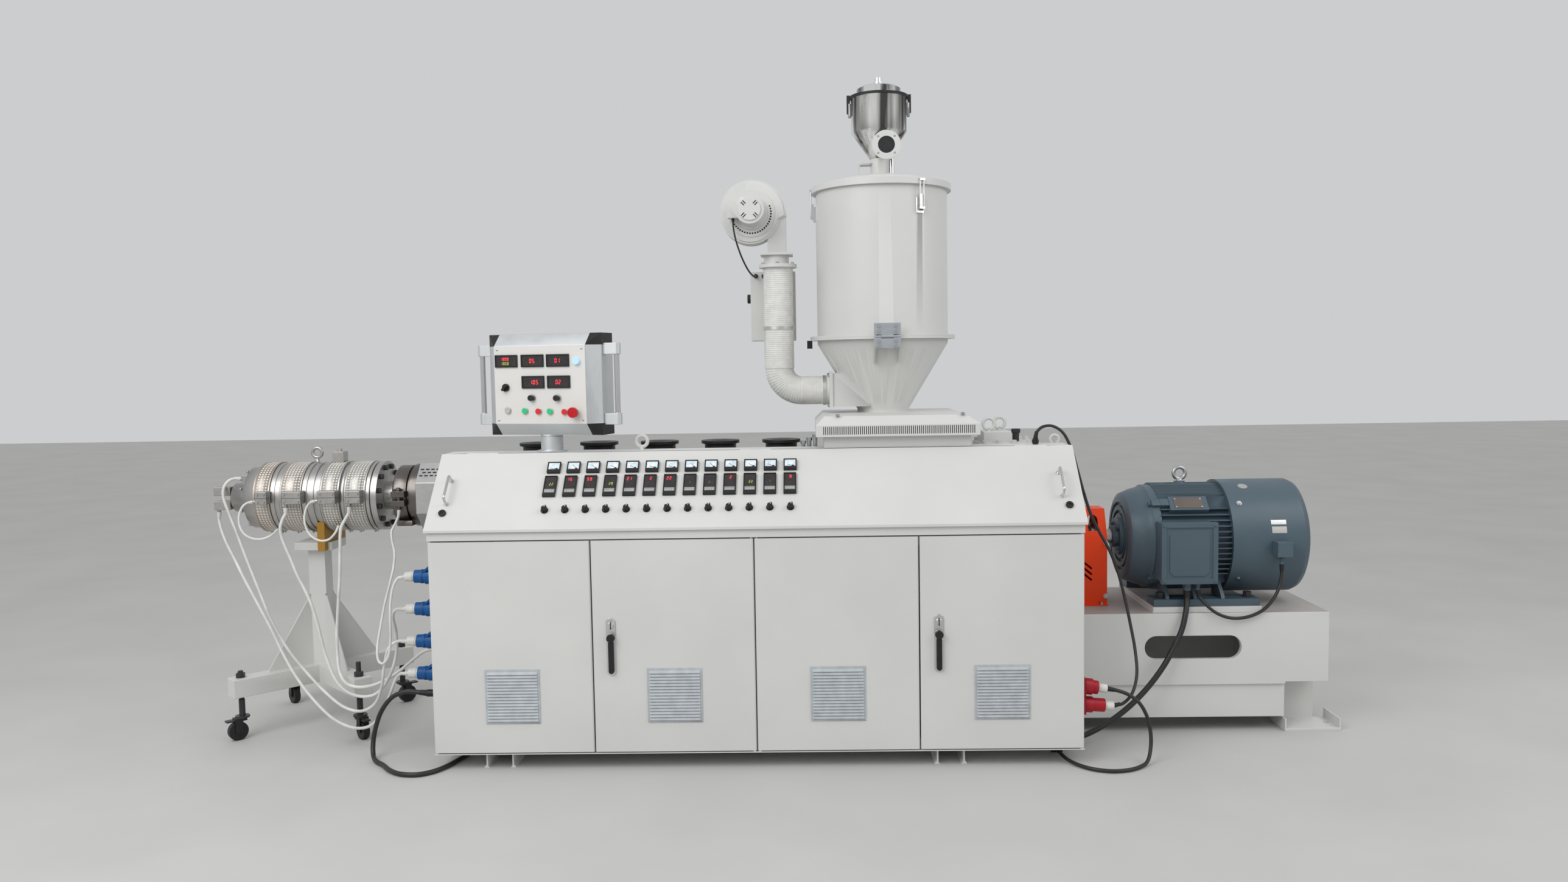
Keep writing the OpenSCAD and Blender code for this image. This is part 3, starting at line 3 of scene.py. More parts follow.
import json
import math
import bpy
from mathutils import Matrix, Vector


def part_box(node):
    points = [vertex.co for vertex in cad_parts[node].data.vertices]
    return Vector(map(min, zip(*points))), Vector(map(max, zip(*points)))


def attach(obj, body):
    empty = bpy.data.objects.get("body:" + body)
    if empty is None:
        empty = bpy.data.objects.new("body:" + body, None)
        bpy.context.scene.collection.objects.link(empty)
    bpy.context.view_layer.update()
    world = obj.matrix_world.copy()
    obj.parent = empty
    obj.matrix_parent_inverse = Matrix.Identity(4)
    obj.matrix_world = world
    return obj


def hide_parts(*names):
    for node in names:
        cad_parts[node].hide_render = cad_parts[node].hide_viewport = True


bl_info = {
    "name": "Plastic extruder finish",
    "version": (1, 0, 0),
    "blender": (4, 5, 0),
    "location": "View3D > Sidebar > Extruder",
    "description": "Dresses a packed plastic extruder with paint, metals, instruments and cables",
    "category": "Object",
}

import bmesh
import bpy
from mathutils import Matrix, Vector

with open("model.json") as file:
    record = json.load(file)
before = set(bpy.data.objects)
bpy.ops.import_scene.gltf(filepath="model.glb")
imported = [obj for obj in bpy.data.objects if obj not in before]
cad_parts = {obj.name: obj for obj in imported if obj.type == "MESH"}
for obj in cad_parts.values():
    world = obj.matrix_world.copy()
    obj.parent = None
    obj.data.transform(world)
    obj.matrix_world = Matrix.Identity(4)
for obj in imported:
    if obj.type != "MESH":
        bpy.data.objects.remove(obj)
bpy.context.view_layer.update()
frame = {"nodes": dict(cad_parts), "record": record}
MM = 0.001

# The cabinet's lower left corner is the zero of the machine's own measures, in millimetres
HOME = Vector((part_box("cabinet_shell")[0].x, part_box("cabinet_shell")[0].y, 0.0))
GROUND = Matrix.Translation(HOME) @ Matrix.Scale(MM, 4)
BODY = {node: body for body, nodes in frame["record"]["behaviour"]["bodies"].items() for node in nodes}
SLOTS = {row["node"]: row["material_slot"] for row in frame["record"]["subparts"]}
MACHINE = BODY["cabinet_shell"]

# Places that the pieces share, as in the solids
CAB_W = 2420.0
SLOPE_Z, SLOPE_RISE, SLOPE_RUN = 909.0, 262.0, 251.0
AXIS_Y, SCREW_Z = 640.0, 970.0
MOTOR_MID, MOTOR_Z = 2998.0, 755.0
HOP_X, FLANGE_Z, DRUM_TOP = 1730.0, 1600.0, 2195.0
DUCT_X, DUCT_Y, DUCT_Z = 1300.0, 600.0, 1388.0
BOX_X, BOX_Y, BOX_Z, BOX_TURN = 408.0, 311.0, 1238.0, -15.0
FACE_HALF, FACE_FOOT, FACE_TOP = 194.0, BOX_Z + 46.0, BOX_Z + 347.0
STAND_X = -678.0

# The die's heater bands and the plugs on them, from end to end along the machine
BANDS = ((-885, -817), (-773, -684), (-605, -527), (-504, -418))
PLUGS = ((-858, -809), (-747, -667), (-599, -525), (-484, -422))
PANEL_COUNT = 13


def at(x, y, z):
    """A point of the machine, from the cabinet's left edge, its front and the floor, in millimetres."""
    return HOME + Vector((x, y, z)) * MM


def shifted(x, y, z, turn=0.0, axis="Z"):
    """A frame of its own at a point of the machine, turned about an axis."""
    return GROUND @ Matrix.Translation((x, y, z)) @ Matrix.Rotation(math.radians(turn), 4, axis)


def on_slope(u, v):
    """The frame of a piece on the sloped panel, u along the machine and v up the slope."""
    face = math.degrees(math.atan2(SLOPE_RISE, SLOPE_RUN))
    return shifted(u, -11.02, SLOPE_Z, face - 90.0, "X") @ Matrix.Translation((0, 0, v))


def on_box(x, z):
    """The frame of a piece on the control box's face, from the face's left and bottom edges."""
    return shifted(BOX_X, BOX_Y, 0, BOX_TURN) @ Matrix.Translation((-FACE_HALF + x, -87.0, FACE_FOOT + z))


# Settings

class EXTRUDER_PG_paint(bpy.types.PropertyGroup):
    """Colours of the painted sheet and castings."""

    machine: bpy.props.FloatVectorProperty(
        name="Machine", description="Paint of the cabinet, base and hopper", subtype="COLOR",
        size=3, min=0, max=1, default=(0.645, 0.645, 0.63))
    motor: bpy.props.FloatVectorProperty(
        name="Motor", description="Enamel of the motor", subtype="COLOR",
        size=3, min=0, max=1, default=(0.072, 0.112, 0.142))
    guard: bpy.props.FloatVectorProperty(
        name="Guard", description="Enamel of the coupling guard", subtype="COLOR",
        size=3, min=0, max=1, default=(0.86, 0.055, 0.004))


class EXTRUDER_PG_readings(bpy.types.PropertyGroup):
    """What the panel's instruments show."""

    needle_spread: bpy.props.FloatProperty(
        name="Needle spread", description="Degrees between the lowest and the highest needle",
        default=48.0, min=0.0, max=80.0)


class EXTRUDER_PG_fasteners(bpy.types.PropertyGroup):
    """Sizes of the fasteners, across their flats, and of the bands' perforations."""

    panel_screw: bpy.props.FloatProperty(
        name="Panel screws", description="Width of the screws in sheet metal", subtype="DISTANCE",
        default=0.013, min=0.004)
    casing_bolt: bpy.props.FloatProperty(
        name="Casing bolts", description="Width of the gearbox's bolts", subtype="DISTANCE",
        default=0.019, min=0.006)
    foot_bolt: bpy.props.FloatProperty(
        name="Foot bolts", description="Width of the bolts that hold the motor down", subtype="DISTANCE",
        default=0.030, min=0.010)
    band_pitch: bpy.props.FloatProperty(
        name="Band pitch", description="Distance between the perforations of a heater band",
        subtype="DISTANCE", default=0.0125, min=0.008)


class EXTRUDER_PG_stage(bpy.types.PropertyGroup):
    """Light and ground of the stage."""

    key_power: bpy.props.FloatProperty(
        name="Key light", description="Power of the large soft light", subtype="POWER",
        default=145.0, min=0.0)
    fill: bpy.props.FloatProperty(
        name="Fill", description="Strength of the light from all round", default=0.68, min=0.0)
    floor_size: bpy.props.FloatProperty(
        name="Floor", description="Side of the floor", subtype="DISTANCE", default=40.0, min=5.0)


# Materials

class Shader:
    """A material's node tree, with short calls for the nodes that it is made of."""

    def __init__(self, name):
        self.material = bpy.data.materials.new(name)
        self.material.use_nodes = True
        self.tree = self.material.node_tree
        self.surface = self.tree.nodes["Principled BSDF"]

    def node(self, kind, **values):
        made = self.tree.nodes.new("ShaderNode" + kind)
        for name, value in values.items():
            setattr(made, name, value)
        return made

    def link(self, source, target):
        self.tree.links.new(source, target)

    def place(self):
        return self.node("TexCoord").outputs["Object"]

    def noise(self, scale, detail=3.0, stretch=None):
        """Noise with features of 1/scale metres, drawn out along an axis by stretch."""
        source = self.place()
        if stretch:
            mapping = self.node("Mapping")
            mapping.inputs["Scale"].default_value = stretch
            self.link(source, mapping.inputs["Vector"])
            source = mapping.outputs["Vector"]
        made = self.node("TexNoise")
        made.inputs["Scale"].default_value = scale
        made.inputs["Detail"].default_value = detail
        self.link(source, made.inputs["Vector"])
        return made.outputs["Fac"]

    def ramp(self, source, *stops):
        """Values or colours by position, as (place, colour) pairs."""
        made = self.node("ValToRGB")
        elements = made.color_ramp.elements
        while len(elements) < len(stops):
            elements.new(0.5)
        for element, (position, colour) in zip(elements, stops):
            element.position = position
            element.color = colour if len(colour) == 4 else (*colour, 1.0)
        self.link(source, made.inputs["Fac"])
        return made.outputs["Color"]

    def grey(self, source, low, high, from_low=0.3, from_high=0.7):
        """Maps a value between two limits."""
        made = self.node("MapRange")
        limits = {"From Min": from_low, "From Max": from_high, "To Min": low, "To Max": high}
        for name, value in limits.items():
            made.inputs[name].default_value = value
        self.link(source, made.inputs["Value"])
        return made.outputs["Result"]

    def bump(self, height, strength, distance):
        made = self.node("Bump")
        made.inputs["Strength"].default_value = strength
        made.inputs["Distance"].default_value = distance
        self.link(height, made.inputs["Height"])
        self.link(made.outputs["Normal"], self.surface.inputs["Normal"])

    def colour(self, source):
        self.link(source, self.surface.inputs["Base Color"])

    def rough(self, source):
        self.link(source, self.surface.inputs["Roughness"])

    def plain(self, **values):
        for name, value in values.items():
            self.surface.inputs[name.replace("_", " ")].default_value = value


def shade(colour, factor):
    return tuple(min(1.0, c * factor) for c in colour)


def painted(name, colour, rough=0.38, peel=0.25, grime=0.93, gloss=0.5):
    """Powder coat: fine orange peel, and a slight cloudiness with dust in random patches."""
    s = Shader(name)
    cloud = s.noise(2.2, 4.0)
    s.colour(s.ramp(cloud, (0.25, shade(colour, grime)), (0.75, shade(colour, 1.02))))
    s.rough(s.grey(s.noise(9.0, 5.0), rough - 0.06, rough + 0.08))
    s.bump(s.noise(900.0, 2.0), peel, 0.0002)
    s.plain(Specular_IOR_Level=gloss)
    return s.material


def brushed(name, colour, rough=0.3, stretch=(1.0, 60.0, 60.0)):
    """Turned or brushed metal, its lines across the stretched axes."""
    s = Shader(name)
    lines = s.noise(22.0, 6.0, stretch=stretch)
    s.colour(s.ramp(lines, (0.3, shade(colour, 0.90)), (0.7, shade(colour, 1.05))))
    s.rough(s.grey(s.noise(14.0, 4.0), rough - 0.05, rough + 0.10))
    s.bump(lines, 0.05, 0.0002)
    s.plain(Metallic=1.0)
    return s.material


def moulded(name, colour, rough=0.45):
    """Moulded plastic with a fine grain."""
    s = Shader(name)
    s.colour(s.ramp(s.noise(30.0, 3.0), (0.3, shade(colour, 0.9)), (0.7, shade(colour, 1.1))))
    s.rough(s.grey(s.noise(60.0, 3.0), rough - 0.05, rough + 0.08))
    s.bump(s.noise(2500.0, 2.0), 0.2, 0.0001)
    s.plain(Specular_IOR_Level=0.35)
    return s.material


def mirror_steel(name):
    """Rolled and polished sheet, with upright bands of painted reflection in its colour, dark and bright, as
    a round mirror-bright shell shows.
    """
    s = Shader(name)
    painted_reflections = s.noise(22.0, 2.0, stretch=(1.0, 1.0, 0.04))
    s.colour(s.ramp(painted_reflections, (0.40, (0.10, 0.098, 0.095)), (0.48, (0.50, 0.50, 0.49)),
                    (0.58, (0.90, 0.90, 0.89))))
    s.rough(s.grey(s.noise(9.0, 3.0), 0.08, 0.16))
    s.plain(Metallic=1.0)
    return s.material


def perforated_steel(name):
    """Rolled heater sheet: fine rings, browned by heat towards the tip."""
    s = Shader(name)
    lines = s.noise(26.0, 6.0, stretch=(30.0, 1.0, 1.0))
    bare = s.ramp(lines, (0.3, (0.40, 0.385, 0.365)), (0.7, (0.60, 0.585, 0.56)))
    brown = s.ramp(s.noise(5.0, 4.0), (0.3, (0.36, 0.27, 0.20)), (0.7, (0.56, 0.50, 0.44)))
    split = s.node("SeparateXYZ")
    s.link(s.place(), split.inputs[0])
    tip = at(-900, 0, 0).x
    heat = s.grey(split.outputs["X"], 0.75, 0.05, tip, tip + 0.33)
    blend = s.node("Mix", data_type="RGBA")
    s.link(heat, blend.inputs["Factor"])
    s.link(bare, blend.inputs[6])
    s.link(brown, blend.inputs[7])
    s.colour(blend.outputs[2])
    s.rough(s.grey(s.noise(40.0, 4.0), 0.36, 0.54))
    s.bump(lines, 0.1, 0.0003)
    s.plain(Metallic=0.85)
    return s.material


def glowing(name, colour, strength):
    """A lit segment or lamp behind tinted plastic."""
    s = Shader(name)
    s.colour(s.ramp(s.noise(400.0, 1.0), (0.3, shade(colour, 0.85)), (0.7, colour)))
    s.plain(Roughness=0.4, Emission_Color=(*colour, 1.0), Emission_Strength=strength)
    return s.material


def glassy(name, colour, rough=0.08):
    """A dark window with a faint cloud of dust."""
    s = Shader(name)
    dust = s.noise(45.0, 4.0)
    s.colour(s.ramp(dust, (0.35, colour), (0.8, shade(colour, 1.8))))
    s.rough(s.grey(dust, rough, rough + 0.14))
    s.plain(Specular_IOR_Level=0.6)
    return s.material


def wrapped(name):
    """Glass tape wound over a duct: soft, off white and slightly woven."""
    s = Shader(name)
    s.colour(s.ramp(s.noise(35.0, 5.0), (0.25, (0.64, 0.635, 0.61)), (0.75, (0.76, 0.755, 0.735))))
    s.rough(s.grey(s.noise(80.0, 2.0), 0.55, 0.75))
    s.bump(s.noise(700.0, 3.0), 0.5, 0.0006)
    return s.material


def sheathed(name, colour, rough):
    """The extruded sleeve of a cable, a little dusty."""
    s = Shader(name)
    s.colour(s.ramp(s.noise(14.0, 4.0), (0.3, shade(colour, 0.82)), (0.75, shade(colour, 1.12))))
    s.rough(s.grey(s.noise(90.0, 3.0), rough - 0.08, rough + 0.1))
    s.bump(s.noise(1200.0, 2.0), 0.15, 0.0002)
    return s.material


# Each finish as its maker, its material's name and the maker's values in order. A colour that comes from
# the settings is the setting's name and a factor.
FINISHES = {
    "white_paint": (painted, "machine_paint", ("machine", 1.0)),
    "box_white": (painted, "panel_print", (0.70, 0.69, 0.665), 0.34, 0.1),
    "motor_paint": (painted, "motor_enamel", ("motor", 1.0), 0.42, 0.4, 0.8),
    "orange_paint": (painted, "guard_enamel", ("guard", 1.0), 0.4, 0.25, 0.88, 0.25),
    "yellow_paint": (painted, "saddle_enamel", (0.52, 0.27, 0.02), 0.5, 0.25, 0.5),
    "grey_frame": (brushed, "anodised_profile", (0.70, 0.72, 0.73), 0.5, (60.0, 60.0, 1.0)),
    "steel": (brushed, "turned_steel", (0.50, 0.49, 0.475), 0.34, (60.0, 1.0, 1.0)),
    "bright_steel": (brushed, "polished_steel", (0.66, 0.66, 0.66), 0.16),
    "mirror_steel": (mirror_steel, "mirror_steel"),
    "dusty_top": (painted, "dusty_paint", (0.44, 0.415, 0.395), 0.6, 0.1, 0.72),
    "plug_steel": (brushed, "plug_steel", (0.47, 0.455, 0.435), 0.42, (4.0, 4.0, 4.0)),
    # Darker steel for the seams of the plugs, and for the painted reflection on the die's clamp ring.
    "dark_steel": (brushed, "dark_steel", (0.17, 0.155, 0.145), 0.3, (60.0, 1.0, 1.0)),
    "black_plastic": (moulded, "black_moulding", (0.014, 0.014, 0.015)),
    "grille_grey": (moulded, "grille_moulding", (0.45, 0.48, 0.505), 0.5),
    "white_gland": (moulded, "white_moulding", (0.62, 0.62, 0.59), 0.4),
    "green_button": (glowing, "green_button", (0.02, 0.42, 0.16), 0.35),
    "red_knob": (moulded, "stop_button", (0.50, 0.01, 0.015), 0.25),
    "red_button": (glowing, "red_button", (0.55, 0.01, 0.02), 0.35),
    "grey_button": (moulded, "grey_button", (0.45, 0.46, 0.46), 0.35),
    "blue_lamp": (glowing, "blue_lamp", (0.45, 0.68, 0.92), 0.3),
    "red_segment": (glowing, "red_segment", (1.0, 0.03, 0.05), 1.6),
    "green_segment": (glowing, "green_segment", (0.42, 0.62, 0.05), 0.5),
    "dim_segment": (glowing, "dim_segment", (0.16, 0.20, 0.08), 0.1),
    "screen": (glassy, "screen_window", (0.022, 0.017, 0.018)),
    "strip_grey": (moulded, "key_strip", (0.30, 0.31, 0.31), 0.4),
    "meter_face": (glassy, "meter_face", (0.58, 0.72, 0.80), 0.2),
    "ink": (moulded, "scale_ink", (0.03, 0.03, 0.035), 0.5),
    "window_dark": (glassy, "sight_glass", (0.012, 0.013, 0.015)),
    # Near black for the insides of slots, vents and holes, and of the fan cover behind its guard: painted
    # shade.
    "shadow": (moulded, "opening", (0.020, 0.020, 0.021), 0.8),
    "zinc": (brushed, "zinc_plate", (0.55, 0.58, 0.62), 0.36, (1.0, 40.0, 8.0)),
    "bolt_zinc": (brushed, "zinc_fastener", (0.50, 0.51, 0.52), 0.34),
    "black_bolt": (moulded, "black_fastener", (0.03, 0.03, 0.032), 0.38),
    "bare_plate": (brushed, "bare_plate", (0.66, 0.66, 0.64), 0.34, (1.0, 30.0, 30.0)),
    "aged_plate": (brushed, "aged_plate", (0.20, 0.165, 0.145), 0.4, (1.0, 30.0, 30.0)),
    "mica": (moulded, "mica_dot", (0.80, 0.77, 0.70), 0.5),
    "heater_steel": (perforated_steel, "heater_sheet"),
    "gasket": (moulded, "rubber_gasket", (0.02, 0.02, 0.02), 0.6),
    "wrap": (wrapped, "duct_wrap"),
    "white_cable": (sheathed, "white_sleeve", (0.70, 0.70, 0.67), 0.5),
    "black_cable": (sheathed, "black_sheath", (0.018, 0.018, 0.019), 0.42),
    "cast_white": (painted, "casting_paint", ("machine", 0.97), 0.46, 0.7, 0.9),
    "barrel_sheet": (brushed, "barrel_sheet", (0.52, 0.52, 0.51), 0.42, (1.0, 30.0, 30.0)),
    "blue_plastic": (moulded, "blue_moulding", (0.002, 0.075, 0.26), 0.45),
    "red_plastic": (moulded, "red_moulding", (0.34, 0.004, 0.014), 0.42),
}
MATERIALS = {}


def finish_named(slot):
    """The material for a slot of the record, made once."""
    if slot not in MATERIALS:
        maker, name, *values = FINISHES[slot]
        if values and isinstance(values[0][0], str):
            setting, factor = values[0]
            values[0] = shade(getattr(bpy.context.scene.extruder_paint, setting), factor)
        MATERIALS[slot] = maker(name, *values)
    return MATERIALS[slot]


# Building

class Shape:
    """A mesh in the making, in millimetres and in a frame of its own."""

    def __init__(self, place=None):
        self.mesh = bmesh.new()
        self.place = place or GROUND
        self.finishes = []

    def index(self, finish):
        if finish not in self.finishes:
            self.finishes.append(finish)
        return self.finishes.index(finish)

    def add(self, points, faces, finish, place=None):
        where = place or self.place
        corners = [self.mesh.verts.new(where @ Vector(point)) for point in points]
        for face in faces:
            made = self.mesh.faces.new([corners[i] for i in face])
            made.material_index = self.index(finish)

    def box(self, low, high, finish, place=None):
        (a, b, c), (d, e, f) = low, high
        points = [(a, b, c), (d, b, c), (d, e, c), (a, e, c), (a, b, f), (d, b, f), (d, e, f), (a, e, f)]
        faces = [(0, 3, 2, 1), (4, 5, 6, 7), (0, 1, 5, 4), (1, 2, 6, 5), (2, 3, 7, 6), (3, 0, 4, 7)]
        self.add(points, faces, finish, place)

    def spun(self, outline, finish, place=None, steps=32):
        """A closed body turned about its own Z, from (radius, height) pairs with both ends on the axis."""
        points = [(0, 0, outline[0][1]), (0, 0, outline[-1][1])]
        rings = outline[1:-1]
        for radius, height in rings:
            for k in range(steps):
                angle = 2 * math.pi * k / steps
                points.append((radius * math.cos(angle), radius * math.sin(angle), height))
        faces = []
        for k in range(steps):
            after = (k + 1) % steps
            faces.append((0, 2 + after, 2 + k))
            for row in range(len(rings) - 1):
                low, high = 2 + row * steps, 2 + (row + 1) * steps
                faces.append((low + k, low + after, high + after, high + k))
            last = 2 + (len(rings) - 1) * steps
            faces.append((last + k, last + after, 1))
        self.add(points, faces, finish, place)

    def data(self, name):
        made = bpy.data.meshes.new(name)
        self.mesh.to_mesh(made)
        self.mesh.free()
        for finish in self.finishes:
            made.materials.append(finish_named(finish))
        return made


def piece(name, data, body, slot, *nodes):
    """Puts a finished mesh or curve on its body, in place of the nodes that it stands for."""
    made = data if isinstance(data, bpy.types.Object) else bpy.data.objects.new(name, data)
    if made.name not in bpy.context.scene.collection.objects:
        bpy.context.scene.collection.objects.link(made)
    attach(made, body)
    if nodes:
        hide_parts(*nodes)
    return made


def built(name, shape, body, slot, *nodes, bevel=0.0, smooth=32):
    """A closed shape as a piece, its faces turned outwards and its edges eased."""
    bmesh.ops.recalc_face_normals(shape.mesh, faces=shape.mesh.faces)
    return piece(name, eased(name, shape.data(name), bevel, smooth), body, slot, *nodes)


def eased(name, data, bevel, smooth):
    """Rounds the sharp edges of a mesh by a width in millimetres, and smooths what is nearly flat."""
    data.shade_smooth()
    data.set_sharp_from_angle(angle=math.radians(smooth))
    made = bpy.data.objects.new(name, data)
    if bevel:
        bpy.context.scene.collection.objects.link(made)
        rounding = made.modifiers.new("edges", "BEVEL")
        rounding.width = bevel * MM
        rounding.segments = 2
        rounding.limit_method = "ANGLE"
        rounding.angle_limit = math.radians(40)
        rounding.use_clamp_overlap = False
        rounding.harden_normals = True
        flatten(made)
    return made


def flatten(made):
    """Makes what the modifiers show the object's own mesh, and removes them."""
    shown = made.evaluated_get(bpy.context.evaluated_depsgraph_get())
    data = bpy.data.meshes.new_from_object(shown)
    made.modifiers.clear()
    made.data = data
    return made


def dressed(node, finish, choose=None, bevel=1.2, cuts=(), smooth=32, joined=True, carve=None):
    """A node's own surface, welded, with eased edges and a finish chosen for each face by its place.

    What carve does to the object is done before the object goes on its body.
    """
    shape = Shape()
    mesh = shape.mesh
    mesh.from_mesh(frame["nodes"][node].data)
    bmesh.ops.remove_doubles(mesh, verts=mesh.verts, dist=0.00001)
    if joined:
        bmesh.ops.dissolve_limit(mesh, angle_limit=math.radians(0.5), verts=mesh.verts, edges=mesh.edges)
    for place, way in cuts:
        everything = mesh.verts[:] + mesh.edges[:] + mesh.faces[:]
        bmesh.ops.bisect_plane(mesh, geom=everything, plane_co=place, plane_no=way, dist=0.00001)
    shape.index(finish)
    back = GROUND.inverted()
    for face in mesh.faces:
        picked = choose(back @ face.calc_center_median(), face.normal) if choose else None
        face.material_index = shape.index(picked or finish)
    name = node + "_finished"
    made = eased(name, shape.data(name), bevel, smooth)
    if carve:
        carve(made)
    return piece(name, made, BODY[node], SLOTS[node], node)


# Repeats grown over a row of places

class Growth:
    """A tree of geometry nodes with named inputs, and short calls to make and join its nodes."""

    def __init__(self, name, **sizes):
        self.tree = bpy.data.node_groups.new(name, "GeometryNodeTree")
        kinds = {float: "NodeSocketFloat", int: "NodeSocketInt"}
        self.tree.interface.new_socket("Places", in_out="INPUT", socket_type="NodeSocketGeometry")
        for label, value in sizes.items():
            socket = self.tree.interface.new_socket(label, in_out="INPUT", socket_type=kinds[type(value)])
            socket.default_value = value
        self.tree.interface.new_socket("Finish", in_out="INPUT", socket_type="NodeSocketMaterial")
        self.tree.interface.new_socket("Geometry", in_out="OUTPUT", socket_type="NodeSocketGeometry")
        self.given = self.tree.nodes.new("NodeGroupInput").outputs

    def node(self, kind, settings=None, **inputs):
        made = self.tree.nodes.new(kind)
        for name, value in (settings or {}).items():
            setattr(made, name, value)
        for name, value in inputs.items():
            socket = made.inputs[name.replace("_", " ")]
            if isinstance(value, bpy.types.NodeSocket):
                self.tree.links.new(value, socket)
            else:
                socket.default_value = value
        return made

    def maths(self, operation, a, b):
        made = self.node("ShaderNodeMath", {"operation": operation})
        for socket, value in zip(made.inputs, (a, b)):
            if isinstance(value, bpy.types.NodeSocket):
                self.tree.links.new(value, socket)
            else:
                socket.default_value = value
        return made.outputs[0]

    def raised(self, solid, height):
        """A solid moved up its own Z."""
        up = self.node("ShaderNodeCombineXYZ", Z=height)
        return self.node("GeometryNodeTransform", Geometry=solid, Translation=up.outputs[0]).outputs[0]

    def close(self, solid):
        """Sets the solid on every place, standing along the place's way and scaled by its size."""
        way = self.node("GeometryNodeInputNamedAttribute", {"data_type": "FLOAT_VECTOR"}, Name="way")
        size = self.node("GeometryNodeInputNamedAttribute", {"data_type": "FLOAT"}, Name="size")
        turn = self.node("FunctionNodeAlignRotationToVector", {"axis": "Z"}, Vector=way.outputs["Attribute"])
        set_out = self.node("GeometryNodeInstanceOnPoints", Points=self.given["Places"], Instance=solid,
                            Rotation=turn.outputs["Rotation"], Scale=size.outputs["Attribute"])
        real = self.node("GeometryNodeRealizeInstances", Geometry=set_out.outputs[0])
        done = self.node("GeometryNodeSetMaterial", Geometry=real.outputs[0], Material=self.given["Finish"])
        out = self.tree.nodes.new("NodeGroupOutput")
        self.tree.links.new(done.outputs[0], out.inputs["Geometry"])
        return self.tree


def bolt_tree():
    """Hexagon heads on washers."""
    g = Growth("bolt_heads", Across=0.018, Height=0.008, Washer=0.012, Thickness=0.002)
    head = g.node("GeometryNodeMeshCylinder", Vertices=6, Radius=g.maths("DIVIDE", g.given["Across"], 1.732),
                  Depth=g.given["Height"])
    up = g.maths("ADD", g.maths("MULTIPLY", g.given["Height"], 0.5), g.given["Thickness"])
    washer = g.node("GeometryNodeMeshCylinder", Vertices=18, Radius=g.given["Washer"],
                    Depth=g.given["Thickness"])
    both = g.node("GeometryNodeJoinGeometry")
    for solid in (g.raised(head.outputs["Mesh"], up),
                  g.raised(washer.outputs["Mesh"], g.maths("MULTIPLY", g.given["Thickness"], 0.5))):
        g.tree.links.new(solid, both.inputs[0])
    return g.close(both.outputs[0])


def disc_tree():
    """Low discs, for rivets, holes and perforations."""
    g = Growth("discs", Radius=0.004, Depth=0.0006, Corners=8)
    disc = g.node("GeometryNodeMeshCylinder", Vertices=g.given["Corners"], Radius=g.given["Radius"],
                  Depth=g.given["Depth"])
    return g.close(disc.outputs["Mesh"])


def hoop_tree():
    """Thin hoops, for windings and guards of wire."""
    g = Growth("hoops", Radius=0.06, Wire=0.002, Steps=40)
    ring = g.node("GeometryNodeCurvePrimitiveCircle", Radius=g.given["Radius"], Resolution=g.given["Steps"])
    wire = g.node("GeometryNodeCurvePrimitiveCircle", Radius=g.given["Wire"], Resolution=6)
    tube = g.node("GeometryNodeCurveToMesh", Curve=ring.outputs["Curve"], Profile_Curve=wire.outputs["Curve"])
    smooth = g.node("GeometryNodeSetShadeSmooth", Geometry=tube.outputs[0])
    return g.close(smooth.outputs[0])


def bar_tree():
    """Straight bars or slots, long across their way."""
    g = Growth("bars", Length=0.02, Width=0.004, Depth=0.001)
    size = g.node("ShaderNodeCombineXYZ", X=g.given["Length"], Y=g.given["Width"], Z=g.given["Depth"])
    bar = g.node("GeometryNodeMeshCube", Size=size.outputs[0])
    return g.close(bar.outputs["Mesh"])


TREES = {}


def grow(made, tree, finish, **sizes):
    """Runs a tree on an object and keeps the result as its plain mesh."""
    growth = made.modifiers.new("growth", "NODES")
    growth.node_group = tree
    sockets = {item.name: item.identifier for item in tree.interface.items_tree if item.in_out == "INPUT"}
    for label, value in sizes.items():
        growth[sockets[label]] = value
    growth[sockets["Finish"]] = finish_named(finish)
    return flatten(made)


def repeats(name, tree, places, body, slot, finish, **sizes):
    """One mesh of like pieces, from (point, way) or (point, way, size) rows in the machine's millimetres."""
    if tree not in TREES:
        TREES[tree] = {"bolts": bolt_tree, "discs": disc_tree, "hoops": hoop_tree, "bars": bar_tree}[tree]()
    data = bpy.data.meshes.new(name)
    data.from_pydata([at(*row[0]) for row in places], [], [])
    ways = data.attributes.new("way", "FLOAT_VECTOR", "POINT")
    ways.data.foreach_set("vector", [value for row in places for value in Vector(row[1]).normalized()])
    scales = data.attributes.new("size", "FLOAT", "POINT")
    scales.data.foreach_set("value", [row[2] if len(row) > 2 else 1.0 for row in places])
    made = bpy.data.objects.new(name, data)
    bpy.context.scene.collection.objects.link(made)
    return piece(name, grow(made, TREES[tree], finish, **sizes), body, slot)


def bolts(name, places, across, height, washer, finish="bolt_zinc", slot="steel", body=MACHINE,
          thickness=0.002):
    """Hexagon heads on washers."""
    repeats(name, "bolts", places, body, slot, finish,
            Across=across, Height=height, Washer=washer, Thickness=thickness)


def discs(name, places, radius, depth, corners, finish, slot="steel", body=MACHINE):
    """Low discs, for rivets, holes and perforations."""
    repeats(name, "discs", places, body, slot, finish, Radius=radius, Depth=depth, Corners=corners)


def round_axis(x, z, radius, angle):
    """A place on a circle round the machine's axis and its way out, from the top towards the front."""
    way = (0, -math.sin(angle), math.cos(angle))
    return (x, AXIS_Y + radius * way[1], z + radius * way[2]), way


def through(place, points):
    """Points of a frame of its own, as points of the machine in millimetres."""
    back = GROUND.inverted() @ place
    return [tuple(back @ Vector(point)) for point in points]


def facing(place, way):
    """A direction of a frame of its own, as a direction of the machine."""
    return tuple((place.to_3x3() @ Vector(way)).normalized())


# Cables

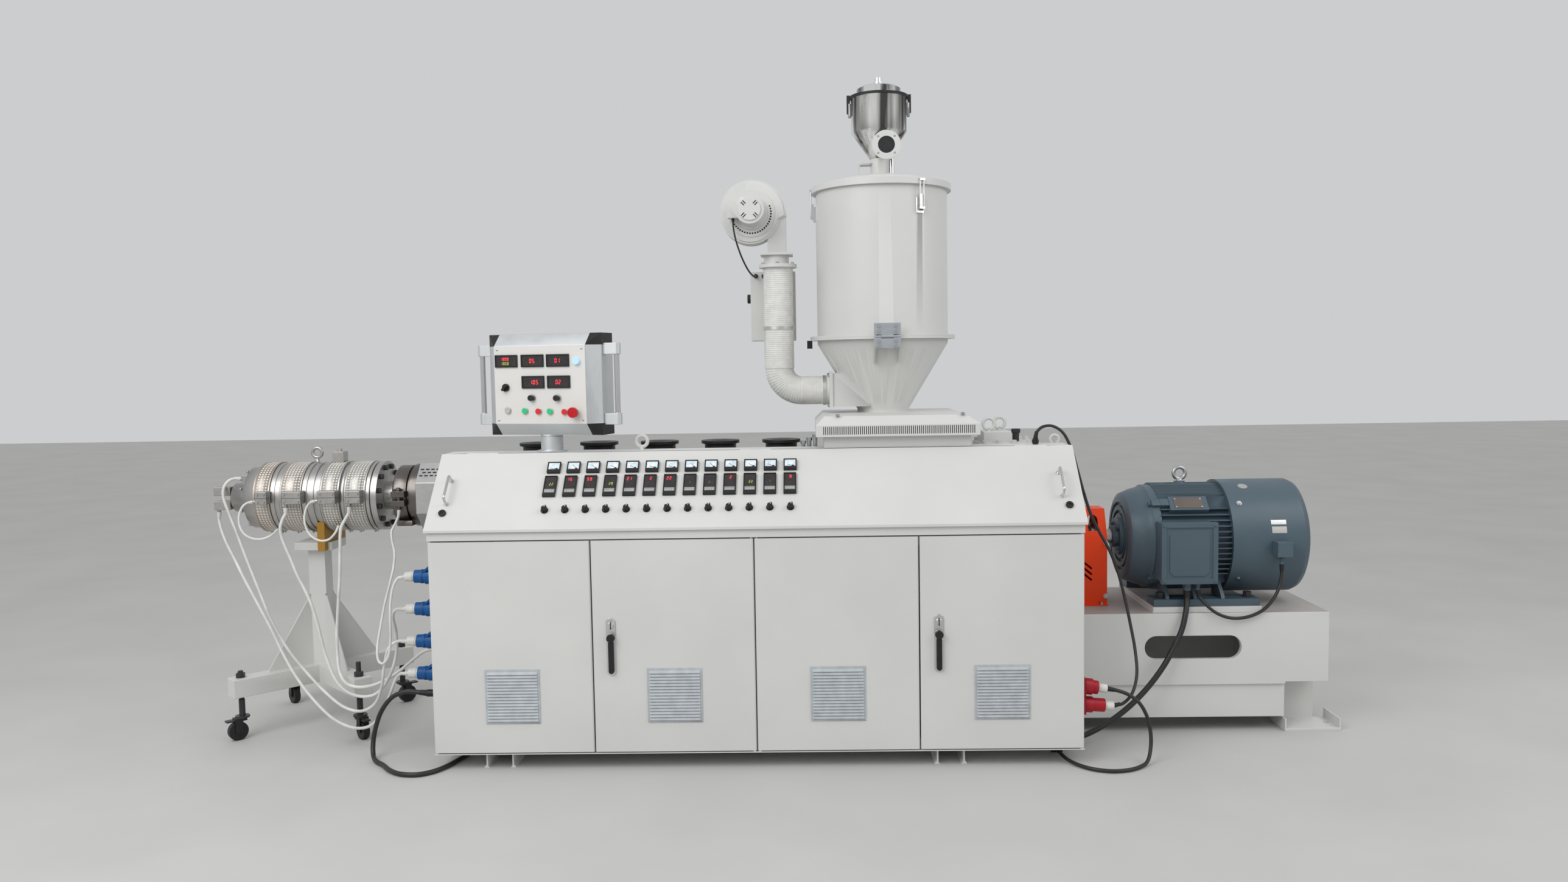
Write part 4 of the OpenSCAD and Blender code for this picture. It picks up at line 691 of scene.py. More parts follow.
def smooth_line(points):
    """Bezier knots and handles of the smooth curve through the points, as in the solids."""
    points = [Vector(point) for point in points]
    row = [2 * points[0] - points[1], *points, 2 * points[-1] - points[-2]]
    return [(row[k], row[k] - (row[k + 1] - row[k - 1]) / 6, row[k] + (row[k + 1] - row[k - 1]) / 6)
            for k in range(1, len(row) - 1)]


def length_of(knots, parts=24):
    """The curve's length in metres, each stretch between two knots measured in so many parts."""
    total = 0.0
    for (a, _, b), (d, c, _) in zip(knots, knots[1:]):
        last = a
        for k in range(1, parts + 1):
            t = k / parts
            here = (1 - t) ** 3 * a + 3 * (1 - t) ** 2 * t * b + 3 * (1 - t) * t * t * c + t ** 3 * d
            total += (here - last).length
            last = here
    return total


CABLES = {
    "lead_tip_low": (12, (
        (-1085, 604, 912), (-1086, 602, 880), (-1070, 590, 830), (-1038, 565, 780), (-991, 535, 715),
        (-940, 500, 645), (-880, 465, 565), (-805, 432, 450), (-741, 400, 345), (-672, 365, 255),
        (-592, 330, 175), (-500, 290, 112), (-405, 250, 88), (-320, 212, 108), (-265, 197, 168),
        (-228, 184, 240), (-198, 166, 302), (-172, 152, 330), (-137, 150, 333.5),)),
    "lead_tip_high": (12, (
        (-994, 622, 1050), (-1014, 616, 1052), (-1034, 598, 1045), (-1047, 578, 1018),
        (-1042, 562, 975), (-1012, 548, 905), (-980, 540, 825), (-940, 530, 720), (-876, 495, 592),
        (-813, 462, 467), (-737, 435, 357), (-650, 405, 268), (-560, 365, 198), (-470, 320, 152),
        (-380, 272, 148), (-305, 228, 192), (-262, 190, 268), (-240, 165, 350), (-215, 152, 428),
        (-180, 150, 457), (-137, 150, 459),)),
    "lead_ring": (9, (
        (-874, 472, 968), (-892, 468, 966), (-912, 460, 950), (-924, 452, 915), (-923, 450, 875),
        (-905, 448, 840), (-870, 447, 820), (-830, 447, 818), (-793, 448, 832), (-764, 449, 858),)),
    "lead_band_1": (13, (
        (-738, 472, 942), (-739, 470, 920), (-748, 458, 895), (-755, 450, 862), (-750, 448, 825),
        (-735, 444, 785), (-712, 438, 735), (-684, 430, 670), (-654, 425, 612), (-627, 418, 552),
        (-602, 410, 475), (-580, 400, 390), (-555, 388, 318), (-515, 362, 250), (-455, 332, 208),
        (-385, 312, 195), (-320, 296, 215), (-265, 285, 285), (-228, 265, 375), (-212, 230, 470),
        (-205, 185, 545), (-180, 155, 580), (-137, 150, 584.5),)),
    "lead_loop": (9, (
        (-615, 472, 968), (-630, 468, 965), (-646, 460, 945), (-654, 452, 905), (-648, 450, 862),
        (-628, 448, 828), (-592, 447, 808), (-555, 447, 812), (-528, 448, 838), (-513, 450, 868),)),
    "lead_band_2": (13, (
        (-475, 472, 942), (-476, 470, 920), (-488, 462, 895), (-503, 452, 862), (-508, 449, 825),
        (-509, 446, 780), (-510, 440, 720), (-511, 433, 655), (-515, 426, 585), (-520, 420, 505),
        (-524, 412, 425), (-520, 402, 352), (-503, 372, 290), (-466, 336, 248), (-410, 314, 234),
        (-350, 320, 238), (-290, 326, 262), (-232, 324, 300), (-172, 304, 348), (-115, 277, 388),
        (-50, 265, 400),)),
    "lead_neck": (10, (
        (-278, 497, 924), (-280, 493, 900), (-290, 482, 870), (-302, 468, 838), (-296, 455, 800),
        (-280, 432, 755), (-275, 400, 700), (-282, 368, 635), (-290, 330, 565), (-292, 285, 490),
        (-286, 225, 415), (-262, 168, 380), (-228, 128, 378), (-200, 111, 412), (-188, 108, 480),
        (-186, 108, 580), (-181, 124, 660), (-166, 145, 703), (-137, 150, 710),)),
    "floor_lead": (18, (
        (-72, 158, 252), (-105, 158, 255), (-155, 158, 258), (-208, 158, 238), (-250, 158, 190),
        (-276, 157, 128), (-288, 150, 65), (-280, 125, 22), (-255, 85, 11), (-210, 40, 10),
        (-165, -15, 10), (-110, -55, 10), (-45, -62, 10), (5, -30, 10), (38, 25, 10), (58, 85, 10),
        (80, 145, 11), (98, 205, 15), (108, 250, 21), (110, 286, 22),)),
    "motor_cable": (22, (
        (2915, 385, 573), (2913, 377, 535), (2901, 355, 487), (2882, 340, 425), (2848, 330, 355),
        (2800, 315, 280), (2735, 295, 205), (2660, 272, 140), (2580, 250, 88), (2495, 230, 48),
        (2415, 216, 26), (2350, 210, 22), (2296, 210, 22),)),
    "fan_lead": (13, (
        (3289, 385, 672), (3288, 384, 630), (3276, 378, 580), (3246, 368, 530), (3202, 358, 492),
        (3142, 352, 469), (3078, 350, 466), (3022, 354, 486), (2982, 364, 520), (2961, 379, 550),
        (2957, 385, 573),)),
    "sensor_lead": (12, (
        (2300, 310, 1195), (2304, 310, 1216), (2328, 311, 1238), (2368, 310, 1240), (2408, 307, 1212),
        (2438, 303, 1150), (2460, 298, 1070), (2482, 292, 985), (2508, 285, 900), (2542, 277, 825),
        (2580, 266, 750), (2608, 252, 668), (2628, 235, 575), (2642, 207, 480), (2650, 172, 392),
        (2646, 130, 310), (2620, 92, 248), (2580, 68, 214), (2540.2, 60, 206.6),)),
    "supply_lead": (14, (
        (2515.1, 60, 271.8), (2550, 60, 265), (2592, 58, 250), (2632, 54, 220), (2660, 48, 170),
        (2672, 40, 110), (2668, 25, 55), (2648, -5, 16), (2610, -42, 9), (2560, -72, 9), (2500, -82, 9),
        (2440, -62, 9), (2395, -18, 9), (2365, 30, 12), (2349, 78, 18), (2345, 120, 22),)),
    "blower_lead": (7, (
        (1125, 498, 2086), (1126, 493, 2050), (1135, 493, 2000), (1150, 505, 1950), (1166, 530, 1910),
        (1182, 565, 1880), (1196, 605, 1864), (1203, 640, 1862), (1204, 660, 1866), (1204, 670, 1868),)),
}
LOOSE_ENDS = ("lead_ring", "lead_loop")


class EXTRUDER_OT_cables(bpy.types.Operator):
    """Lay the heater leads, the motor's cable and the supply leads, with their tapered reliefs"""

    bl_idname = "extruder.cables"
    bl_label = "Cables"

    def execute(self, context):
        reliefs = {"white_cable": Shape(), "black_cable": Shape()}
        for name, (diameter, points) in CABLES.items():
            slot = SLOTS.get(name, "black_cable")
            knots = smooth_line([at(*point) for point in points])
            curve = bpy.data.curves.new(name + "_sleeve", "CURVE")
            curve.dimensions = "3D"
            curve.resolution_u = 6
            curve.bevel_depth = diameter * MM / 2
            curve.bevel_resolution = 3
            curve.use_fill_caps = True
            spline = curve.splines.new("BEZIER")
            spline.bezier_points.add(len(knots) - 1)
            for point, (knot, before, after) in zip(spline.bezier_points, knots):
                point.co, point.handle_left, point.handle_right = knot, before, after
            curve.materials.append(finish_named(slot))
            sleeve = bpy.data.objects.new(name + "_sleeve", curve)
            stood_for = [name] if name in BODY else []
            made = piece(sleeve.name, sleeve, BODY.get(name, MACHINE), slot, *stood_for)
            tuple(knots[0][0])
            length_of(knots)
            ends = [(points[0], points[1])] + ([] if name in LOOSE_ENDS else [(points[-1], points[-2])])
            for end, inside in ends:
                way = (Vector(inside) - Vector(end)).to_track_quat("Z", "Y").to_matrix().to_4x4()
                place = GROUND @ Matrix.Translation(end) @ way
                r = diameter / 2
                long = min(30.0, 2.2 * diameter)
                finish = "white_gland" if slot == "white_cable" else "black_plastic"
                outline = [(0, 0.3), (r + 2.6, 0.3), (r + 2.8, 3.0), (r + 1.8, long * 0.45),
                           (r + 0.7, long), (0, long)]
                reliefs[slot].spun(outline, finish, place, 20)
        for slot, shape in reliefs.items():
            built(slot.replace("cable", "reliefs"), shape, MACHINE, slot)
        return {"FINISHED"}


class EXTRUDER_OT_cabinet(bpy.types.Operator):
    """Finish the cabinet's shell, doors, locks and sloped panel"""

    bl_idname = "extruder.cabinet"
    bl_label = "Cabinet"

    def execute(self, context):
        dressed("cabinet_shell", "white_paint", bevel=0.8)
        dressed("cabinet_feet", "white_paint")
        dressed("sloped_panel", "white_paint", bevel=1.5)

        def grille(c, n):
            """The filter grille, which stands proud of the leaf."""
            return "grille_grey" if c.y < -0.2 and 178 < c.z < 384 else None

        for k in range(1, 5):
            dressed(f"door_{k}", "white_paint", grille, bevel=0.0, smooth=1, joined=False)

        def handle(c, n):
            """The swing handle, below the lock's cylinder."""
            return "black_plastic" if c.y < -4.2 and c.z < 520 else None

        for node in ("lock_2", "lock_4"):
            dressed(node, "bare_plate", handle, 1.6)
            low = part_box(node)[0]
            left = (low - HOME).x / MM
            marks = Shape()
            marks.box((left + 16, -9.6, 532), (left + 20, -8.8, 560), "ink")
            built(node + "_keyway", marks, BODY[node], "black_plastic")
        return {"FINISHED"}


SEGMENTS = {
    "0": "abcdef", "1": "bc", "2": "abged", "3": "abgcd", "4": "fgbc",
    "5": "afgcd", "6": "afgedc", "7": "abc", "8": "abcdefg", "9": "abcdfg",
}


def reading(shape, text, left, foot, height, depth, finish, place):
    """A row of seven-segment figures, standing on the plane at that depth."""
    wide, t = height * 0.5, height * 0.12
    middle, top, gap = foot + height / 2, foot + height, t * 0.6
    for k, letter in enumerate(text):
        x = left + k * height * 0.74
        right = x + wide
        bars = {
            "a": (x + t, top - t, right - t, top),
            "b": (right - t, middle + gap, right, top - t),
            "c": (right - t, foot + t, right, middle - gap),
            "d": (x + t, foot, right - t, foot + t),
            "e": (x, foot + t, x + t, middle - gap),
            "f": (x, middle + gap, x + t, top - t),
            "g": (x + t, middle - t / 2, right - t, middle + t / 2),
        }
        for name in SEGMENTS.get(letter, ""):
            x0, z0, x1, z1 = bars[name]
            shape.box((x0, depth - 0.35, z0), (x1, depth, z1), finish, place)


# Upper and lower figures of the controllers, from left to right
HOT = ("", "15", "59", "", "21", "2", "22", "", "", "2", "", "", "8")
SET = ("22", "", "", "28", "", "", "", "1", "2", "", "22", "7", "")


class EXTRUDER_OT_instruments(bpy.types.Operator):
    """Finish the meters, controllers, knobs and handles on the sloped panel"""

    bl_idname = "extruder.instruments"
    bl_label = "Instruments"

    def execute(self, context):
        scale = context.scene.extruder_readings
        dressed("panel_instruments", "black_plastic", bevel=0.7)
        dressed("panel_knobs", "black_plastic", bevel=0.8)
        dressed("panel_handles", "bright_steel", bevel=0.4,
                choose=lambda c, n: "black_plastic" if c.z < 984 else None)
        faces, digits, lines = Shape(), Shape(), Shape()
        for k in range(PANEL_COUNT):
            place = on_slope(442 + 75.25 * k, 258)
            faces.box((-20.8, -9.5, 11.2), (20.8, -8.9, 45.8), "meter_face", place)
            faces.box((-20.8, -9.9, 11.2), (20.8, -9.4, 15.5), "ink", place)
            pivot = Matrix.Translation((11.0, 0.0, 16.0))
            for step in range(9):
                turn = place @ pivot @ Matrix.Rotation(math.radians(-84 + 10.5 * step), 4, "Y")
                long = 3.4 if step % 4 == 0 else 2.0
                lines.box((-0.35, -9.8, 22.5), (0.35, -9.45, 22.5 + long), "ink", turn)
            angle = -80 + (scale.needle_spread * ((k * 37) % PANEL_COUNT)) / (PANEL_COUNT - 1)
            needle = place @ pivot @ Matrix.Rotation(math.radians(angle), 4, "Y")
            lines.box((-0.55, -10.4, -1.0), (0.55, -10.0, 23.0), "ink", needle)
            cap = place @ pivot @ Matrix.Translation((0, -9.4, 0)) @ Matrix.Rotation(math.pi / 2, 4, "X")
            lines.spun([(0, 0), (4.5, 0), (4.5, 1.2), (0, 1.2)], "ink", cap, 16)

            place = on_slope(438 + 75.5 * k, 146)
            faces.box((-19.8, -7.6, 34.0), (19.8, -6.9, 91.8), "screen", place)
            faces.box((-19.8, -7.9, 16.2), (19.8, -6.9, 33.6), "strip_grey", place)
            for key in range(4):
                faces.box((-17 + 9 * key, -8.5, 20), (-10.5 + 9 * key, -7.8, 25), "grey_button", place)
            left = -13.0 if len(HOT[k]) > 1 else -1.0
            reading(digits, HOT[k], left, 71.0, 14.5, -7.5, "red_segment", place)
            lit = "green_segment" if SET[k] in ("22", "28") else "dim_segment"
            reading(digits, SET[k], -4.0, 50.0, 12.0, -7.5, lit, place)

            place = on_slope(431 + 76.25 * k, 84) @ Matrix.Rotation(math.radians(30), 4, "Y")
            lines.box((-0.8, -22.4, 2.0), (0.8, -21.9, 12.4), "white_gland", place)
        built("panel_windows", faces, BODY["panel_instruments"], "black_plastic", bevel=0.2)
        built("panel_readings", digits, BODY["panel_instruments"], "red_plastic")
        built("panel_scales", lines, BODY["panel_instruments"], "black_plastic")
        return {"FINISHED"}


BUTTONS = {
    (55, 52): "grey_button", (129, 50): "green_button", (187, 48): "red_button", (236, 48): "green_button",
    (298, 46): "red_button", (160, 100): "black_plastic", (268, 99): "black_plastic",
    (49, 141): "black_plastic", (353, 240): "blue_lamp", (343, 44): "red_knob",
}
SELECTOR = (49, 141)
DISPLAYS = ((6, 219, "1808"), (118, 219, "05"), (226, 219, "01"), (119, 137, "105"), (228, 137, "02"))


class EXTRUDER_OT_control_box(bpy.types.Operator):
    """Finish the operator's box on its post"""

    bl_idname = "extruder.control_box"
    bl_label = "Control box"

    def execute(self, context):
        turned = shifted(BOX_X, BOX_Y, 0, BOX_TURN)
        inward = turned.inverted() @ GROUND
        dressed("box_post", "grey_frame")

        def corner(c, n):
            """The corner caps, outside the face both ways."""
            here = inward @ c
            return "black_plastic" if abs(here.x) > FACE_HALF and not FACE_FOOT < here.z < FACE_TOP else None

        sides = [(turned @ Vector((x, 0, BOX_Z)), facing(turned, (1, 0, 0))) for x in (-FACE_HALF, FACE_HALF)]
        ends = [(turned @ Vector((0, 0, z)), (0, 0, 1)) for z in (FACE_FOOT, FACE_TOP)]
        dressed("box_body", "grey_frame", corner, 1.5, sides + ends)
        dressed("box_face", "box_white", bevel=0.4)

        face = on_box(0, 0).inverted() @ GROUND

        def control(c, n):
            """Each button has its own colour over a bare collar."""
            here = face @ c
            near = min(BUTTONS, key=lambda spot: math.hypot(spot[0] - here.x, spot[1] - here.z))
            if math.hypot(near[0] - here.x, near[1] - here.z) > 24:
                return None
            collar = -17.0 if BUTTONS[near] == "red_knob" else -4.2
            return BUTTONS[near] if here.y < collar or near == SELECTOR else "bare_plate"

        dressed("box_controls", "black_plastic", control, 0.6)
        dressed("box_handles", "grey_frame", bevel=2.0,
                choose=lambda c, n: "bright_steel" if abs(c.z - BOX_Z - 196.5) < 113 else None)
        windows, digits = Shape(), Shape()
        for x, z, figures in DISPLAYS:
            place = on_box(x + 48, z)
            windows.box((-42.8, -3.7, 5.2), (42.8, -2.9, 42.8), "screen", place)
            if len(figures) == 4:
                for line, finish in ((26.0, "red_segment"), (9.0, "green_segment")):
                    reading(digits, figures, -22.0, line, 12.0, -3.6, finish, place)
            else:
                reading(digits, figures, -12.0, 15.0, 17.0, -3.6, "red_segment", place)
        for x, z in ((14, 14), (374, 14), (14, 287), (374, 287)):
            windows.spun([(0, 0), (4, 0), (4, 1.4), (3, 2), (0, 2)], "bolt_zinc",
                         on_box(x, z) @ Matrix.Rotation(math.pi / 2, 4, "X"), 16)
        built("box_windows", windows, BODY["box_controls"], "black_plastic", bevel=0.2)
        built("box_readings", digits, BODY["box_controls"], "red_plastic")
        return {"FINISHED"}


def louvre_tree():
    """Cuts a row of slots into a sheet, their walls near black with painted shade."""
    g = Growth("louvres", Count=75, Pitch=0.0078, Width=0.0032, Height=0.031, Depth=0.006,
               Left=0.0, Front=0.0, Foot=0.0)
    start = g.node("ShaderNodeCombineXYZ", X=g.given["Left"], Y=g.given["Front"], Z=g.given["Foot"])
    step = g.node("ShaderNodeCombineXYZ", X=g.given["Pitch"])
    size = g.node("ShaderNodeCombineXYZ", X=g.given["Width"], Y=g.given["Depth"], Z=g.given["Height"])
    row = g.node("GeometryNodeMeshLine", Count=g.given["Count"], Start_Location=start.outputs[0],
                 Offset=step.outputs[0])
    bar = g.node("GeometryNodeMeshCube", Size=size.outputs[0])
    spread = g.node("GeometryNodeInstanceOnPoints", Points=row.outputs[0], Instance=bar.outputs["Mesh"])
    bars = g.node("GeometryNodeRealizeInstances", Geometry=spread.outputs[0])
    marked = g.node("GeometryNodeStoreNamedAttribute", {"data_type": "BOOLEAN", "domain": "FACE"},
                    Geometry=bars.outputs[0], Name="slot_wall", Value=True)
    cut = g.node("GeometryNodeMeshBoolean", {"operation": "DIFFERENCE"})
    g.tree.links.new(g.given["Places"], cut.inputs["Mesh 1"])
    g.tree.links.new(marked.outputs[0], cut.inputs["Mesh 2"])
    wall = g.node("GeometryNodeInputNamedAttribute", {"data_type": "BOOLEAN"}, Name="slot_wall")
    real = g.node("GeometryNodeRealizeInstances", Geometry=cut.outputs["Mesh"])
    done = g.node("GeometryNodeSetMaterial", Geometry=real.outputs[0], Selection=wall.outputs["Attribute"],
                  Material=g.given["Finish"])
    out = g.tree.nodes.new("NodeGroupOutput")
    g.tree.links.new(done.outputs[0], out.inputs["Geometry"])
    return g.tree


def cut_louvres(hood):
    """Cuts the row of slots along the hood's front."""
    first = at(1475.0, 219.0, 1240.5)
    grow(hood, louvre_tree(), "shadow", Left=first.x, Front=first.y, Foot=first.z)


class EXTRUDER_OT_bed(bpy.types.Operator):
    """Finish the base, its feet, the riser and the hood over the feed throat"""

    bl_idname = "extruder.bed"
    bl_label = "Base and hood"

    def execute(self, context):
        dressed("base_frame", "white_paint", bevel=2.5,
                choose=lambda c, n: "dusty_top" if n.z > 0.9 and c.z > 470 else None)
        dressed("foot_plates", "white_paint", bevel=1.5)
        dressed("riser", "white_paint", bevel=2.0)
        dressed("feed_hood", "white_paint", bevel=2.0, carve=cut_louvres)
        across = context.scene.extruder_fasteners.panel_screw
        screws = [((x, 245, 1295), (0, 0, 1)) for x in (1530, 2010)]
        bolts("hood_screws", screws, across, 0.006, across * 0.62)
        return {"FINISHED"}


def ring_of(centre, radius, count, way, start=0.0, sweep=360.0):
    """Places round a circle that faces a way, starting from its top or side."""
    way = Vector(way).normalized()
    first = Vector((0, 0, 1)) if abs(way.z) < 0.9 else Vector((1, 0, 0))
    across = way.cross(first)
    places = []
    for k in range(count):
        angle = math.radians(start + sweep * k / (count if sweep == 360.0 else count - 1))
        spot = Vector(centre) + radius * (math.cos(angle) * first + math.sin(angle) * across)
        places.append((tuple(spot), tuple(way)))
    return places


class EXTRUDER_OT_drive(bpy.types.Operator):
    """Finish the barrel's cover and fans, the gearbox, the coupling's guard and the motor"""

    bl_idname = "extruder.drive"
    bl_label = "Drive"

    def execute(self, context):
        sizes = context.scene.extruder_fasteners
        dressed("barrel_cover", "barrel_sheet", bevel=2.0)
        dressed("barrel_blowers", "black_plastic", bevel=0.8)
        vents = []
        for row in range(3):
            fall = 0.7071 * (17 * (row - 1))
            shift = 10 if row % 2 else 0
            for k in range(8):
                spot = (-192 + 22 * k + shift, AXIS_Y - 103.1 - fall, SCREW_Z + 103.1 - fall)
                vents.append((spot, (0, -1, 1)))
        repeats("cover_vents", "bars", vents, MACHINE, "black_plastic", "shadow",
                Length=0.014, Width=0.006, Depth=0.0012)

        def filler(c, n):
            """The filler cap."""
            return "black_bolt" if c.z > 1161 and abs(c.x - 2283) < 21 and abs(c.y - AXIS_Y) < 21 else None

        dressed("gearbox", "cast_white", filler, 3.0)
        edge = [((x, y, 1100), (0, 0, 1)) for x in range(2062, 2475, 68) for y in (464, 816)]
        step = [((x, y, 1160), (0, 0, 1)) for x in (2136, 2196, 2256, 2316, 2346) for y in (532, 748)]
        cover = [((2480, y, z), (1, 0, 0)) for y in (470, 810) for z in range(520, 1090, 90)]
        bolts("gearbox_bolts", edge + step + cover, sizes.casing_bolt, 0.011, sizes.casing_bolt * 0.66,
              "cast_white", "white_paint")
        dressed("coupling_guard", "orange_paint", bevel=1.0)
        feet = [((x, y, 488), (0, 0, 1)) for x in (2506, 2614) for y in (531.5, 748.5)]
        sides = [((2633, AXIS_Y - 97, z), (0, -1, 0)) for z in (520, 742)]
        bolts("guard_bolts", feet + sides, 0.013, 0.008, 0.010)

        dressed("motor_frame", "motor_paint", bevel=0.0,
                choose=lambda c, n: "bolt_zinc" if c.z > MOTOR_Z + 229 else None)
        dressed("motor_shield", "motor_paint", bevel=1.0)
        dressed("motor_fan_cover", "motor_paint", bevel=0.0)
        dressed("motor_box", "motor_paint", bevel=1.5)
        dressed("motor_shaft", "steel", bevel=1.0)
        feet = [((MOTOR_MID + x, AXIS_Y + y, 533), (0, 0, 1)) for x in (-174.5, 174.5) for y in (-203, 203)]
        bolts("motor_foot_bolts", feet, sizes.foot_bolt, 0.018, sizes.foot_bolt * 0.62,
              "black_bolt", "black_plastic", thickness=0.004)
        lugs = [((2801, AXIS_Y + 214 * math.sin(a), MOTOR_Z + 214 * math.cos(a)), (-1, 0, 0))
                for a in (math.radians(d) for d in (45, 135, 225, 315))]
        hub = ring_of((2700, AXIS_Y, MOTOR_Z), 62, 4, (-1, 0, 0), 45)
        bolts("motor_end_bolts", lugs + hub, 0.016, 0.010, 0.012, "motor_paint", "motor_paint")
        rim = [round_axis(3147, MOTOR_Z, 233.2, math.radians(d)) for d in (49, 131, 229, 311)]
        bolts("fan_cover_screws", rim, 0.013, 0.006, 0.011)
        tag = round_axis(3190, MOTOR_Z, 232.6, math.radians(24))
        discs("fan_cover_tag", [tag], 0.019, 0.0022, 32, "bare_plate")

        plates = Shape()
        pad = GROUND @ Matrix.Translation((0, AXIS_Y, MOTOR_Z)) @ Matrix.Rotation(math.radians(46), 4, "X")
        plates.box((2892, -24, 222.6), (3006, 26, 224.2), "aged_plate", pad)
        for low, high, arc in ((3258, 3318, (67.5, 72.0)), (3260, 3318, (74.0, 80.5))):
            rows = [math.radians(arc[0] + (arc[1] - arc[0]) * k / 4) for k in range(5)]
            skin = [(x, AXIS_Y - r * math.sin(a), MOTOR_Z + r * math.cos(a))
                    for r in (232.9, 233.9) for a in rows for x in (low, high)]
            faces = []
            for k in range(0, 8, 2):
                faces += [(k, k + 1, k + 3, k + 2), (k + 10, k + 12, k + 13, k + 11),
                          (k, k + 2, k + 12, k + 10), (k + 1, k + 11, k + 13, k + 3)]
            faces += [(0, 10, 11, 1), (8, 9, 19, 18)]
            plates.add(skin, faces, "bare_plate")
        built("motor_plates", plates, MACHINE, "steel")
        corners = through(pad, [(x, y, 224.2) for x in (2898, 3000) for y in (-19, 21)])
        way = facing(pad, (0, 0, 1))
        discs("plate_rivets", [(spot, way) for spot in corners], 0.003, 0.0016, 10, "bare_plate")

        back = Shape()
        axle = shifted(3420, AXIS_Y, MOTOR_Z) @ Matrix.Rotation(math.pi / 2, 4, "Y")
        back.spun([(0, 0.1), (196, 0.1), (196, 0.7), (0, 0.7)], "shadow", axle, 64)
        back.spun([(0, 0.1), (36, 0.1), (36, 3.0), (30, 5.0), (0, 5.0)], "motor_paint", axle, 40)
        for k in range(8):
            spoke = axle @ Matrix.Rotation(math.radians(45 * k + 22.5), 4, "Z")
            back.box((34, -2.2, 0.4), (200, 2.2, 3.4), "motor_paint", spoke)
        built("fan_guard_back", back, MACHINE, "motor_paint")
        wires = [((3422.4, AXIS_Y, MOTOR_Z), (1, 0, 0), r / 100) for r in range(44, 204, 10)]
        repeats("fan_guard_wires", "hoops", wires, MACHINE, "motor_paint", "motor_paint",
                Radius=0.1, Wire=0.0015, Steps=48)
        return {"FINISHED"}


def from_axis(c, x, y):
    return math.hypot(c.x - x, c.y - y)


class EXTRUDER_OT_hopper(bpy.types.Operator):
    """Finish the hopper, its hinge and latches, and the vacuum loader"""

    bl_idname = "extruder.hopper"
    bl_label = "Hopper and loader"

    def execute(self, context):
        def hinge(c):
            """The hinge's leaves, in front of the flange."""
            return c.y < 333.6 and abs(c.x - HOP_X) < 54

        def cone(c, n):
            """The hinge, and the catch at the flange's left."""
            if hinge(c):
                return "zinc"
            return "black_plastic" if c.x < HOP_X - 301 else None

        def drum(c, n):
            """The hinge, and the lid's latches."""
            if hinge(c):
                return "zinc"
            return "bright_steel" if from_axis(c, HOP_X, AXIS_Y) > 272 and c.z > DRUM_TOP - 115 else None

        dressed("hopper_cone", "white_paint", cone, 0.0)
        dressed("hopper_drum", "white_paint", drum, 0.0)
        dressed("hopper_lid", "white_paint", bevel=0.0)
        for name, node, heights in (("low", "hopper_cone", (-38, -18)), ("high", "hopper_drum", (20, 40))):
            rows = [((HOP_X + x, 326, FLANGE_Z + z), (0, -1, 0)) for x in (-33, 33) for z in heights]
            bolts("hinge_bolts_" + name, rows, 0.012, 0.006, 0.008, body=BODY[node])

        def bowl(c, n):
            """The sight tube's end, and the lid's seal and clamps."""
            if c.y < 536 and c.z < 2415:
                return "cast_white"
            if 2576 < c.z < 2589 and from_axis(c, HOP_X - 5, AXIS_Y) > 112:
                return "gasket"
            return "black_bolt" if from_axis(c, HOP_X - 5, AXIS_Y) > 122 and 2500 < c.z < 2600 else None

        def neck(c, n):
            """The sight glass, and the post beside the neck."""
            if math.hypot(c.x - 1747, c.z - 2373) < 34.4 and 523 < c.y < 560:
                return "window_dark"
            return "bright_steel" if from_axis(c, HOP_X + 45, AXIS_Y) < 12 else None

        # The loader's steel carries painted reflections: upright dark and bright bands in its colour.
        dressed("loader", "mirror_steel", bowl, 0.0)
        dressed("loader_neck", "white_paint", neck, 0.0)
        rim = ring_of((1747, 522, 2373), 47, 4, (0, -1, 0), 45)
        discs("sight_screws", rim, 0.0042, 0.004, 6, "bolt_zinc", body=BODY["loader_neck"])
        return {"FINISHED"}


